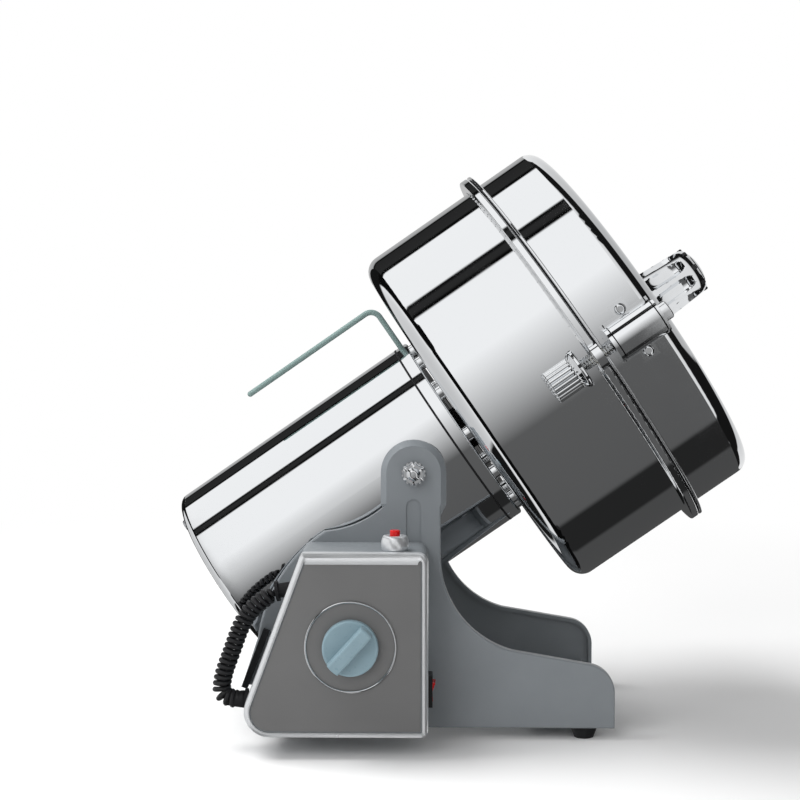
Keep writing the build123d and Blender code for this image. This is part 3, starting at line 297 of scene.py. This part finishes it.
steel_mirror = mirror_steel()
chrome = mirror_steel("clamp_chrome", chrome_tone, 0.03, 0.09)
steel_brushed = brushed_steel()
paint = stand_paint()
panel = panel_satin()
black_plastic = plastic("black_plastic", (20, 20, 22))
nylon = plastic("nylon", (222, 220, 210))
knob_blue = plastic("knob_blue", (130, 154, 164), rough=(0.26, 0.36), grain=0.000012)
red_plastic = plastic("red_plastic", (206, 16, 16), rough=(0.14, 0.24), grain=0.000005)
cord_plastic = plastic("cord_plastic", (26, 26, 28), rough=(0.3, 0.45))
black_rubber = rubber("black_rubber", (20, 20, 22))
rod_enamel = plastic("rod_enamel", (124, 146, 143), rough=(0.28, 0.4))
thread_steel = mirror_steel("thread_steel", (214, 216, 218), 0.18, 0.26)
bright_trim = satin_trim()
copper_wire = copper()
iron = laminated_iron()
alloy = brushed_steel("cast_alloy")
# the clamp housings' chrome, with painted shade along its score grooves
scored = scored_chrome_painted_shade()

finishes = {
    steel_mirror: ("motor_shell", "end_bell", "rear_cover", "grinding_bowl", "lid"),
    chrome: (
        "lid_knob", "saddle_screws", "thumbscrew_near", "thumbscrew_far",
        "neck_posts", "breaker_nut", "pivot_nuts", "pivot_studs", "pivot_washers",
    ),
    scored: ("clamp_housings",),
    steel_brushed: (
        "foot_screws", "pivot_bosses", "box_screws", "cover_screws", "bowl_screws",
        "lid_knob_screw", "blade_nut", "blade_spacers", "motor_shaft", "shaft_bearings",
        "lower_blade", "middle_blade", "upper_blade",
    ),
    paint: ("side_plate_near", "side_plate_far", "front_brace", "rear_brace", "control_box"),
    panel: ("control_panel",),
    black_plastic: (
        "timer_body", "breaker_body", "rocker_housing", "brush_holders", "carbon_brushes",
    ),
    nylon: ("pivot_bushes", "clamp_bushes", "cooling_fan", "terminal_block"),
    knob_blue: ("timer_knob",),
    red_plastic: ("reset_button", "rocker_switch"),
    black_rubber: (
        "rubber_feet", "edge_guard", "cord_glands", "mains_gland", "curly_cord", "shaft_seal",
        "lid_seal",
    ),
    rod_enamel: ("tilt_handle",),
    copper_wire: ("field_windings", "armature_winding", "commutator"),
    iron: ("stator_core", "armature"),
    alloy: ("bearing_bracket",),
}
for material, names in finishes.items():
    for name in names:
        nodes[name].data.materials.clear()
        nodes[name].data.materials.append(material)

# ------------------------------------------------------------------ mesh helpers

sharp_edge = radians(38)
detail_segments = 240  # round pieces with flutes or ribs, or as wide as the motor
round_segments = 96
small_segments = 48
bevels_per_side = 6  # a small block's shortest side, in bevel widths


def new_object(name, mesh_builder, material, body):
    """Makes a smooth mesh object from a bmesh, with its finish and the body that it rides on."""
    mesh = bpy.data.meshes.new(name)
    bmesh.ops.recalc_face_normals(mesh_builder, faces=mesh_builder.faces)
    mesh_builder.to_mesh(mesh)
    mesh_builder.free()
    mesh.materials.append(material)
    mesh.shade_smooth()
    mesh.set_sharp_from_angle(angle=sharp_edge)
    piece = bpy.data.objects.new(name, mesh)
    bpy.context.scene.collection.objects.link(piece)
    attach(piece, body)
    return piece


def skin_rings(rings, closed_path=False):
    """A bmesh skinned over rings of points, with end caps unless the path is closed."""
    builder = bmesh.new()
    loops = [[builder.verts.new(point) for point in ring] for ring in rings]
    pairs = list(zip(loops, loops[1:]))
    if closed_path:
        pairs.append((loops[-1], loops[0]))
    for lower, upper in pairs:
        count = len(lower)
        for i in range(count):
            j = (i + 1) % count
            builder.faces.new((lower[i], lower[j], upper[j], upper[i]))
    if not closed_path:
        builder.faces.new(loops[0])
        builder.faces.new(loops[-1])
    return builder


def turned_rings(profile, place, segments, radius_at=None):
    """Rings about a placed z axis from (z, radius) pairs; radius_at may vary them by angle."""
    rings = []
    for z, radius in profile:
        ring = []
        for i in range(segments):
            angle = 2 * pi * i / segments
            r = radius_at(angle, z, radius) if radius_at else radius
            ring.append(place @ Vector((r * cos(angle), r * sin(angle), z)))
        rings.append(ring)
    return rings


def arc(center, radius, start, end, steps):
    """(z, r) points on an arc, angles in degrees measured from +z towards +r."""
    z, r = center
    points = []
    for i in range(steps + 1):
        angle = radians(start + (end - start) * i / steps)
        points.append((z + radius * cos(angle), r + radius * sin(angle)))
    return points


def in_metres(points):
    """Points in millimetres, as tuples in metres."""
    return [tuple(value * MM for value in point) for point in points]


def block(builder, place, size, edge):
    """Adds a box with bevelled edges to a bmesh."""
    made = bmesh.ops.create_cube(builder, size=1.0, matrix=place @ Matrix.Diagonal((*size, 1)))
    edges = {side for vertex in made["verts"] for side in vertex.link_edges}
    bmesh.ops.bevel(builder, geom=list(edges), offset=edge, segments=2, affect="EDGES")


def ring_of_blocks(place, count, radius_mm, height_mm, size_mm, turn=0.0):
    """Small bevelled boxes round a placed z axis, with their x pointing outwards."""
    builder = bmesh.new()
    size = [side * MM for side in size_mm]
    for i in range(count):
        spin = Matrix.Rotation(2 * pi * i / count + turn, 4, "Z")
        spot = Matrix.Translation((radius_mm * MM, 0, height_mm * MM))
        block(builder, place @ spin @ spot, size, min(size) / bevels_per_side)
    return builder


# ------------------------------------------------------------------ motor seam

seam_along_mm = 26.7
# painted shade: the profile of a thin black ring set into the seam groove between the motor shell
# and the end bell
seam_shade_ring_mm = [
    (-0.6, 57.9), (-0.6, 58.3), (-0.4, 58.42), (0.4, 58.42), (0.6, 58.3), (0.6, 57.9),
]

seam_shade_rings = turned_rings(in_metres(seam_shade_ring_mm), mill_place(seam_along_mm), detail_segments)
seam_shade_skin = skin_rings(seam_shade_rings, closed_path=True)
# the seam groove's painted shade, as a black ring
new_object("motor_seam_shade_ring", seam_shade_skin, black_rubber, "mill")

# ------------------------------------------------------------------ lid knob

lid_face_mm = 154.3
lobe_count = 8
flute_middle_mm = 20.0  # from the lid's face
flute_half_mm = 13.0
flute_half_width_mm = 4.2
flute_depth_mm = 3.8
flute_turn = radians(15)  # down from the side that faces the camera
# size, radius and height of the black blocks that are the knob notches' painted shade
knob_notch_mm = (1.8, 3.0, 2.6)
knob_notch_r_mm = 12.7
knob_notch_height_mm = 36.9
knob_taper = 0.06  # in radius, for each millimetre of height
lid_knob_profile_mm = [
    (0.0, 13.6), (0.3, 14.3), (1.2, 14.8), (3.0, 15.2),
    *[(5 + i, 15.4 - knob_taper * i) for i in range(31)],
    (36.4, 13.3), (37.4, 12.9), (38.1, 12.3), (38.5, 11.4), (38.6, 9.8), (39.3, 9.5),
    (40.0, 8.2), (40.6, 5.9), (40.95, 3.0), (41.05, 0.6),
]


def fluted_r(angle, z, radius):
    """The knob's radius with a round-ended flute between each two lobes."""
    spacing = 2 * pi / lobe_count
    off = (angle - flute_turn + spacing / 2) % spacing - spacing / 2
    across = radius * off / (flute_half_width_mm * MM)
    along = (z - flute_middle_mm * MM) / (flute_half_mm * MM)
    inside = 1 - across**2 - along**4
    depth = flute_depth_mm * MM * max(inside, 0.0) ** 0.5
    return radius - depth


knob_place = mill_place(lid_face_mm)
knob_rings = turned_rings(in_metres(lid_knob_profile_mm), knob_place, detail_segments, fluted_r)
knob_body = new_object("lid_knob_star", skin_rings(knob_rings), chrome, "lid")
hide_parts("lid_knob")
# painted shade: small black blocks at the knob's end stand in for the shade in its notches
knob_notch_shades = ring_of_blocks(
    knob_place, lobe_count, knob_notch_r_mm, knob_notch_height_mm, knob_notch_mm,
    pi / lobe_count + flute_turn,
)
new_object("lid_knob_notch_shades", knob_notch_shades, black_plastic, "lid")

# ------------------------------------------------------------------ thumbscrews

clamp_r_mm = 119.0
rib_count = 20
rib_depth_mm = 1.15
rib_sharpness = 1.6
ribs_fade_mm = (97.6, 99.4)  # along, where the ribs run out
grip_profile_mm = [
    (83.6, 7.2), (83.7, 7.9), (84.0, 8.3), (84.3, 8.55), (84.9, 8.6), (88.0, 8.6), (92.0, 8.6),
    (96.0, 8.6), (97.6, 8.6), (98.2, 8.7), (98.8, 8.95), (99.4, 9.3), (99.9, 9.75), (100.2, 10.1),
    (100.5, 10.3), (100.9, 10.4), (102.3, 10.4), (102.6, 10.25), (102.8, 9.9),
]
thread_pitch_mm = 1.4
thread_depth_mm = 0.45
thread_flank = 0.8
thread_mm = (102.8, 146.0)  # along
thread_r_mm = 3.0
rings_per_thread = 8
rod_segments = 40
# the collar notches' painted shade: count, size, radius, place along and turn of black blocks
collar_notch_count = 9
collar_notch_mm = (1.5, 1.9, 1.8)
collar_notch_r_mm = 9.9
collar_notch_along_mm = 101.5
collar_notch_turn = radians(8)


def ribbed_r(angle, z, radius):
    """The grip's radius with narrow grooves that run out on the cone."""
    start, end = ribs_fade_mm
    fade = min(1.0, max(0.0, (end - z / MM) / (end - start)))
    groove = (1 - abs(sin(rib_count * angle / 2))) ** rib_sharpness
    return radius - rib_depth_mm * MM * groove * fade


def threaded_r(angle, z, radius):
    """The rod's radius along a helical thread."""
    phase = (z / MM / thread_pitch_mm - angle / (2 * pi)) % 1.0
    return radius - thread_depth_mm * MM * abs(2 * phase - 1) ** thread_flank


def thumbscrew(side, node):
    """A ribbed grip with a collar, and a threaded rod, on one side of the bowl."""
    place = mill_place(0, side * clamp_r_mm)
    grip = turned_rings(in_metres(grip_profile_mm), place, detail_segments, ribbed_r)
    piece = new_object(f"{node}_grip", skin_rings(grip), chrome, node)
    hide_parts(node)
    start, end = thread_mm
    steps = round((end - start) / thread_pitch_mm * rings_per_thread)
    rod_profile = [(start + (end - start) * i / steps, thread_r_mm) for i in range(steps + 1)]
    rod = turned_rings(in_metres(rod_profile), place, rod_segments, threaded_r)
    new_object(f"{node}_rod", skin_rings(rod), thread_steel, node)
    # painted shade: small black blocks round the collar stand in for the shade in its notches
    notch_shades = ring_of_blocks(
        place, collar_notch_count, collar_notch_r_mm, collar_notch_along_mm, collar_notch_mm,
        collar_notch_turn,
    )
    new_object(f"{node}_notches", notch_shades, black_plastic, node)


thumbscrew(-1, "thumbscrew_near")
thumbscrew(1, "thumbscrew_far")

# ------------------------------------------------------------------ pivot nuts

hex_half_mm = 5.3
nut_height_mm = 5.0
nut_profile_mm = [  # height from the nut's face; radius before the flats are cut
    (-nut_height_mm, 5.55), (0.4 - nut_height_mm, 6.45), (-0.7, 6.45), (0.0, 5.05), (0.02, 3.0),
]
stud_r_mm = 3.8
stud_dome_mm = 2.8
stud_flat_mm = 1.0
stud_tip_mm = (0.02, 0.3)


def hex_r(angle, z, radius):
    """A hexagon's radius, cut by the chamfer radius that the profile gives."""
    off = (angle + pi / 6) % (pi / 3) - pi / 6
    return min(hex_half_mm * MM / cos(off), radius)


def pivot_nut(side, name):
    """A chamfered nut with the domed end of its stud, on one ear."""

    def reach_mm(node):
        """How far a node reaches out from the mid-plane on this side."""
        low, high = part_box(node)
        return (high[1] if side > 0 else -low[1]) / MM

    face, stud_end = reach_mm("pivot_nuts"), reach_mm("pivot_studs")
    up, out = Vector((0, 0, 1)), Vector((0, side, 0))
    turn = Matrix((up.cross(out), up, out)).transposed().to_4x4()
    place = Matrix.Translation(Vector((pivot.x, 0, pivot.z))) @ turn
    nut = [(face + height, radius) for height, radius in nut_profile_mm]
    nut_skin = skin_rings(turned_rings(in_metres(nut), place, round_segments, hex_r))
    piece = new_object(f"pivot_nut_{name}", nut_skin, chrome, "mill")
    tip_height, tip_r = stud_tip_mm
    stud = [
        (face - nut_height_mm, stud_r_mm),
        *arc((stud_end - stud_dome_mm, stud_flat_mm), stud_dome_mm, 90, 0, 10),
        (stud_end + tip_height, tip_r),
    ]
    stud_skin = skin_rings(turned_rings(in_metres(stud), place, small_segments))
    new_object(f"pivot_stud_{name}", stud_skin, chrome, "mill")
    return piece


near_nut = pivot_nut(-1, "near")
pivot_nut(1, "far")
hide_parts("pivot_nuts")

# ------------------------------------------------------------------ control box trim

box_corners_mm = [(7.7, -36.9), (-56.9, -36.9), (-92.4, -132.4), (7.7, -132.4)]
box_corner_r_mm = (5.0, 2.5, 13.0, 3.5)
box_corner_steps = 10
bead_side_mm = 2.9
bead_top_mm = 5.6
bead_top_falloff = 8
bead_outset_mm = 0.3
bead_back_mm = 103.0  # from the object's mid-plane
bead_front_mm = 107.95
bead_lip_mm = 1.2  # from the bead's front back to the panel
bead_wall_mm = 0.6
bead_fullness = 0.8  # 1 is a quarter of an ellipse
bead_steps = 14


def rounded_outline(corners, radii, steps):
    """Points and outward normals round a polygon with rounded corners, taken anticlockwise."""
    outline = []
    count = len(corners)
    for i in range(count):
        corner = Vector(corners[i])
        to_last = (Vector(corners[i - 1]) - corner).normalized()
        to_next = (Vector(corners[(i + 1) % count]) - corner).normalized()
        inward = (to_last + to_next).normalized()
        reach = radii[i] / sin(to_last.angle(to_next) / 2)
        center = corner + inward * reach
        first = Vector((-to_last.y, to_last.x))
        last = Vector((to_next.y, -to_next.x))
        for step in range(steps + 1):
            share = step / steps
            normal = (first * (1 - share) + last * share).normalized()
            outline.append((center + normal * radii[i], normal))
    return outline


def box_point(point_mm, out_mm):
    """A place on the control box from across and above the pivot, and out from the mid-plane."""
    return Vector((pivot.x + point_mm[0] * MM, -out_mm * MM, pivot.z + point_mm[1] * MM))


def front_bead():
    """The rounded bright rim of the control box, wider along its top."""
    rings = []
    for point, normal in rounded_outline(box_corners_mm, box_corner_r_mm, box_corner_steps):
        top_share = max(normal.y, 0.0) ** bead_top_falloff
        width = bead_side_mm + (bead_top_mm - bead_side_mm) * top_share + bead_outset_mm
        start = point + normal * bead_outset_mm
        ring = []
        for i in range(bead_steps + 1):
            angle = pi / 2 * i / bead_steps
            inset = width * (1 - cos(angle) ** bead_fullness)
            out = bead_back_mm + (bead_front_mm - bead_back_mm) * sin(angle) ** bead_fullness
            ring.append(box_point(start - normal * inset, out))
        ring.append(box_point(start - normal * width, bead_front_mm - bead_lip_mm))
        ring.append(box_point(start - normal * bead_wall_mm, bead_back_mm))
        rings.append(ring)
    return skin_rings(rings, closed_path=True)


new_object("box_bead", front_bead(), bright_trim, "base")

# ------------------------------------------------------------------ dial

dial_mm = (-31.8, -85.0)
dial_ring_r_mm = 23.2
dial_ring_segments = 160
dial_wire_r_mm = 0.6
dial_wire_segments = 12
dial_ring_out_mm = 108.0
dial_turn = Matrix(((1, 0, 0), (0, 0, 1), (0, -1, 0))).transposed().to_4x4()


def dial_place(out_mm):
    """A matrix on the dial's axis whose local z points at the camera's side and y up."""
    return Matrix.Translation(box_point(dial_mm, out_mm)) @ dial_turn


def dial_ring():
    """A bright wire ring round the knob."""
    place = dial_place(dial_ring_out_mm)
    rings = []
    for i in range(dial_ring_segments):
        angle = 2 * pi * i / dial_ring_segments
        outward = Vector((cos(angle), sin(angle), 0))
        ring = []
        for step in range(dial_wire_segments):
            swing = 2 * pi * step / dial_wire_segments
            radius = dial_ring_r_mm + dial_wire_r_mm * cos(swing)
            height = Vector((0, 0, dial_wire_r_mm * sin(swing) * MM))
            ring.append(place @ (outward * radius * MM + height))
        rings.append(ring)
    return skin_rings(rings, closed_path=True)


new_object("dial_ring", dial_ring(), chrome, "base")

knob_turn = radians(48)
knob_back_mm = 107.9
knob_r_mm = 14.4
knob_base_mm = 5.0
knob_edge_mm = 1.2
knob_segments = 128
knob_profile_mm = [
    (0.0, knob_r_mm - 0.4), (0.3, knob_r_mm),
    *arc((knob_base_mm - knob_edge_mm, knob_r_mm - knob_edge_mm), knob_edge_mm, 90, 0, 6),
    (knob_base_mm - 0.1, knob_r_mm - 2.4),
    (knob_base_mm - 0.15, 6.0), (knob_base_mm - 0.15, 0.4),
]
grip_levels_mm = [  # height from the knob's back, inset from the grip's full outline
    (3.0, 0.0), (11.6, 0.15), (12.3, 0.3), (12.75, 0.7), (12.95, 1.2), (13.0, 1.8),
]
grip_half_width_mm = 3.8
grip_from_edge_mm = 0.8
grip_end_steps = 12


def grip_ring(height, inset):
    """The grip's outline at a height: a bar whose ends follow the disc's edge."""
    radius = knob_r_mm - grip_from_edge_mm - inset
    half = grip_half_width_mm - inset
    reach = asin(half / radius)
    place = dial_place(knob_back_mm + height) @ Matrix.Rotation(knob_turn, 4, "Z")
    ring = []
    for end in (0, pi):
        for i in range(grip_end_steps + 1):
            angle = end - reach + 2 * reach * i / grip_end_steps
            ring.append(place @ Vector((radius * cos(angle) * MM, radius * sin(angle) * MM, 0)))
    return ring


disc_rings = turned_rings(in_metres(knob_profile_mm), dial_place(knob_back_mm), knob_segments)
knob_disc = new_object(
    "timer_knob_disc", skin_rings(disc_rings), knob_blue, "timer_knob",
)
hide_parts("timer_knob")
grip = skin_rings([grip_ring(height, inset) for height, inset in grip_levels_mm])
new_object("timer_knob_grip", grip, knob_blue, "timer_knob")

# ------------------------------------------------------------------ breaker nut

nut_low, nut_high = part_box("breaker_nut")
breaker_profile_mm = [
    (0.0, 6.3), (0.3, 6.6), (0.9, 6.8), (2.2, 7.1), (3.6, 7.2), (5.2, 7.0), (6.6, 6.6), (7.3, 6.3),
    (7.75, 5.8), (7.9, 5.2), (7.85, 4.0), (7.6, 3.4), (7.0, 2.9),
]
breaker_place = Matrix.Translation(
    ((nut_low[0] + nut_high[0]) / 2, (nut_low[1] + nut_high[1]) / 2, nut_low[2])
)
breaker_rings = turned_rings(in_metres(breaker_profile_mm), breaker_place, round_segments)
breaker_barrel = new_object(
    "breaker_barrel", skin_rings(breaker_rings), bright_trim, "base",
)
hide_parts("breaker_nut")

# ------------------------------------------------------------------ curly cord

cord_y_mm = -84.0
cord_route_mm = [  # across and above the pivot
    (-72.0, -60.5), (-77.0, -63.5), (-85.0, -70.0), (-90.5, -78.5),
    (-95.2, -92.0), (-100.5, -106.0), (-101.0, -118.0), (-88.5, -117.8),
]
cord_turns = 26
wire_d = 0.0027
coil_r = 0.005
helix_steps = 18  # points per turn
cord_ease = 0.07  # share of the route where the coil opens out from its end
sleeve_mm = (-98.5, -117.8)  # across and above the pivot
sleeve_profile_mm = [
    (0.0, 2.2), (0.2, 2.9), (0.8, 3.3), (4.0, 3.9), (8.5, 4.5), (9.4, 4.6), (9.9, 4.3), (10.0, 3.6),
]


def cord_point(point_mm):
    """A place in the cord's upright plane, from across and above the pivot."""
    return Vector((pivot.x + point_mm[0] * MM, cord_y_mm * MM, pivot.z + point_mm[1] * MM))


def spline_curve(name, points):
    """A curve of one smooth open spline that starts and ends on its end points."""
    curve = bpy.data.curves.new(name, "CURVE")
    curve.dimensions = "3D"
    curve.resolution_u = 24
    spline = curve.splines.new("NURBS")
    spline.points.add(len(points) - 1)
    for knot, point in zip(spline.points, points):
        knot.co = (*point, 1)
    spline.order_u = 3
    spline.use_endpoint_u = True
    return curve


def curve_points(curve):
    """Points read along a curve that has no bevel."""
    guide = bpy.data.objects.new("guide", curve)
    bpy.context.scene.collection.objects.link(guide)
    bpy.context.view_layer.update()
    mesh = bpy.data.meshes.new_from_object(guide)
    points = [vertex.co.copy() for vertex in mesh.vertices]
    bpy.data.objects.remove(guide)
    bpy.data.meshes.remove(mesh)
    return points


def at_share(points, share):
    """The point and direction at a share of a polyline's length."""
    lengths = [(b - a).length for a, b in zip(points, points[1:])]
    left = share * sum(lengths)
    for a, b, length in zip(points, points[1:], lengths):
        if left <= length:
            return a.lerp(b, left / length), (b - a).normalized()
        left -= length
    return points[-1], (points[-1] - points[-2]).normalized()


def helix_points(points):
    """A coil round a route in an upright plane, closed in to the route at both ends."""
    total = cord_turns * helix_steps
    helix = []
    for i in range(total + 1):
        share = i / total
        center, forward = at_share(points, share)
        inward = across_axis.cross(forward)
        opening = min(min(share, 1 - share) / cord_ease, 1.0)
        radius = (coil_r - wire_d / 2) * opening**2 * (3 - 2 * opening)
        angle = 2 * pi * i / helix_steps
        helix.append(center + (inward * cos(angle) + across_axis * sin(angle)) * radius)
    return helix


route = [cord_point(point_mm) for point_mm in cord_route_mm]
coil_line = helix_points(curve_points(spline_curve("cord_route", route)))
coil_curve = spline_curve("curly_cord_coil", coil_line)
coil_curve.resolution_u = 2
coil_curve.bevel_depth = wire_d / 2
coil_curve.bevel_resolution = 4
coil_curve.use_fill_caps = True
coil_curve.materials.append(cord_plastic)
curly_cord = bpy.data.objects.new("curly_cord_coil", coil_curve)
bpy.context.scene.collection.objects.link(curly_cord)
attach(curly_cord, "base")
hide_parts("curly_cord")

sleeve_turn = Matrix(((0, 1, 0), (0, 0, 1), (1, 0, 0))).transposed().to_4x4()
sleeve_place = Matrix.Translation(cord_point(sleeve_mm)) @ sleeve_turn
sleeve_rings = turned_rings(in_metres(sleeve_profile_mm), sleeve_place, small_segments)
new_object("cord_sleeve", skin_rings(sleeve_rings), black_rubber, "base")

# ------------------------------------------------------------------ studio

toward_camera = -across_axis
around_bands = [  # degrees round the mill axis from the camera's side, up and over; grey level
    (-180, 75), (-113, 75), (-110, 38), (-84, 38), (-81, 90), (-18, 94), (35, 255), (76.3, 255),
    (77.3, 8), (79.3, 10), (80.3, 44), (85.0, 44), (86.0, 10), (87.3, 8), (88.3, 255), (128, 255),
    (129, 8), (132, 10), (133.5, 44), (151, 40), (153, 8), (155.5, 8), (156.5, 165), (180, 195),
]
around_reach = (-0.2, 0.115)  # how far along the mill axis the directions with these bands point
end_bands = [  # how far along the mill axis a direction points; grey level
    (-1.0, 205), (-0.6, 222), (-0.46, 245), (-0.44, 10),
    (0.0, 10), (0.02, 245), (0.5, 215), (1.0, 185),
]
card_level = 22
edge_softness = 0.004
card_softness = 0.02
far_softness = 0.03
ambient_strength = 0.47
floor_half_size = 6.0
floor_segments = 8
floor_fade = (0.34, 0.9)  # distances from the middle
floor_color = (246, 246, 246)
white = (1, 1, 1, 1)


def above(tree, value, edge, softness=edge_softness):
    """1 where a value is above an edge and 0 below it."""
    reach = {"Value": value, "From Min": edge - softness, "From Max": edge + softness}
    return add_node(tree, "MapRange", reach).outputs["Result"]


def below(tree, value, edge, softness=edge_softness):
    """1 where a value is below an edge and 0 above it."""
    return calculate(tree, "SUBTRACT", 1.0, above(tree, value, edge, softness))


def gray_ramp(tree, value, low, high, bands):
    """Grey levels along a value that runs from low to high."""
    share = add_node(tree, "MapRange", {"Value": value, "From Min": low, "From Max": high})
    ramp = add_node(tree, "ValToRGB", {"Fac": share.outputs["Result"]})
    stops = ramp.color_ramp.elements
    while len(stops) < len(bands):
        stops.new(0.5)
    for stop, band in zip(stops, bands):
        stop.position = (band[0] - low) / (high - low)
    for stop, band in zip(stops, bands):
        stop.color = srgb(band[1], band[1], band[1])
    return ramp.outputs["Color"]


def mirrored_studio(tree):
    """Long lamps and black cards along the mill, as its polished metal shows them."""
    direction = add_node(tree, "TexCoord").outputs["Generated"]
    up = component(tree, direction, mill_up)
    out = component(tree, direction, toward_camera)
    along = component(tree, direction, mill_axis)
    height = component(tree, direction, (0, 0, 1))
    slant = calculate(tree, "DIVIDE", along, calculate(tree, "ADD", out, 1.001))
    turn = calculate(tree, "MULTIPLY", calculate(tree, "ARCTAN2", up, out), 180 / pi)
    around = gray_ramp(tree, turn, -180, 180, around_bands)
    ends = gray_ramp(tree, along, -1, 1, end_bands)
    past_lid = above(tree, slant, 0.25, card_softness)
    low_card = calculate(tree, "MULTIPLY", past_lid, above(tree, out, -0.6, card_softness))
    low_card = calculate(tree, "MULTIPLY", low_card, below(tree, height, 0.25, card_softness))
    side_card = calculate(tree, "MULTIPLY", past_lid, below(tree, slant, 0.8, far_softness))
    far_card = calculate(
        tree, "MULTIPLY", below(tree, along, -0.05), below(tree, out, -0.72, far_softness),
    )
    rear_card = calculate(
        tree, "MULTIPLY", below(tree, along, -0.62, card_softness),
        below(tree, up, -0.2, card_softness),
    )
    shadow = low_card
    for card in (side_card, far_card, rear_card):
        shadow = calculate(tree, "MAXIMUM", card, shadow)
    ends = mix_colors(tree, shadow, ends, srgb(card_level, card_level, card_level))
    low, high = around_reach
    off_middle = calculate(tree, "SUBTRACT", along, (low + high) / 2)
    past = calculate(tree, "ABSOLUTE", off_middle)
    return mix_colors(tree, above(tree, past, (high - low) / 2), around, ends)


def studio_world():
    """White to the camera, plain light on the object, and the studio in its reflections."""
    world = bpy.data.worlds.new("studio")
    bpy.context.scene.world = world
    world.use_nodes = True
    tree = world.node_tree
    tree.nodes.clear()
    rays = add_node(tree, "LightPath").outputs
    ambient, mirrored, backdrop = [
        add_node(tree, "Background", {"Color": color, "Strength": strength}).outputs[0]
        for color, strength in (
            (white, ambient_strength), (mirrored_studio(tree), 1.0), (white, 1.0),
        )
    ]
    lit = add_node(tree, "MixShader", {0: rays["Is Glossy Ray"], 1: ambient, 2: mirrored})
    seen = add_node(tree, "MixShader", {0: rays["Is Camera Ray"], 1: lit.outputs[0], 2: backdrop})
    add_node(tree, "OutputWorld", {"Surface": seen.outputs[0]})


def area_light(name, place, target, size, power):
    """A square lamp aimed at a point, kept out of the reflections."""
    lamp = bpy.data.lights.new(name, "AREA")
    lamp.size = size
    lamp.energy = power
    holder = bpy.data.objects.new(name, lamp)
    bpy.context.scene.collection.objects.link(holder)
    holder.location = place
    holder.rotation_euler = (Vector(target) - Vector(place)).to_track_quat("-Z", "Y").to_euler()
    holder.visible_glossy = False


def studio_floor():
    """A pale floor that takes the shadow near the object and fades to white away from it."""
    builder = bmesh.new()
    bmesh.ops.create_grid(
        builder, x_segments=floor_segments, y_segments=floor_segments, size=floor_half_size,
    )
    mesh = bpy.data.meshes.new("floor")
    builder.to_mesh(mesh)
    builder.free()
    material = bpy.data.materials.new("floor")
    material.use_nodes = True
    tree = material.node_tree
    tree.nodes.clear()
    place = add_node(tree, "NewGeometry").outputs["Position"]
    distance = add_node(tree, "VectorMath", {0: place}, operation="LENGTH").outputs["Value"]
    start, end = floor_fade
    fade = add_node(
        tree, "MapRange", {"Value": distance, "From Min": start, "From Max": end},
        interpolation_type="SMOOTHSTEP",
    )
    seen = add_node(tree, "LightPath").outputs["Is Camera Ray"]
    share = calculate(tree, "MULTIPLY", fade.outputs["Result"], seen)
    pale = add_node(tree, "BsdfDiffuse", {"Color": srgb(*floor_color)})
    glow = add_node(tree, "Emission", {"Color": white, "Strength": 1.0})
    mix = add_node(tree, "MixShader", {0: share, 1: pale.outputs[0], 2: glow.outputs[0]})
    add_node(tree, "OutputMaterial", {"Surface": mix.outputs[0]})
    mesh.materials.append(material)
    floor = bpy.data.objects.new("floor", mesh)
    bpy.context.scene.collection.objects.link(floor)
    floor.visible_glossy = False


studio_world()
studio_floor()
area_light("key", place=(-1.1, 0.1, 2.0), target=(0, 0, 0.1), size=1.4, power=43)
area_light("fill", place=(-0.9, -1.6, 1.0), target=(0, 0, 0.15), size=1.2, power=13)

# ------------------------------------------------------------------ camera

camera_across_mm = 8.7
camera_distance_mm = 935.0
camera_above_mm = 92.1
camera_yaw = radians(1.05)
camera_pitch = radians(-3.5)
focal_px = 1640.0
image_px = 800.0

camera_data = bpy.data.cameras.new("camera")
camera_data.sensor_width = 36.0
camera_data.lens = focal_px / image_px * camera_data.sensor_width
camera_data.clip_start = 0.05
camera = bpy.data.objects.new("camera", camera_data)
bpy.context.scene.collection.objects.link(camera)
camera.location = (
    pivot.x + camera_across_mm * MM, -camera_distance_mm * MM, pivot.z + camera_above_mm * MM,
)
camera.rotation_euler = (pi / 2 + camera_pitch, 0, camera_yaw)
bpy.context.scene.camera = camera
bpy.context.scene.view_settings.view_transform = "Standard"
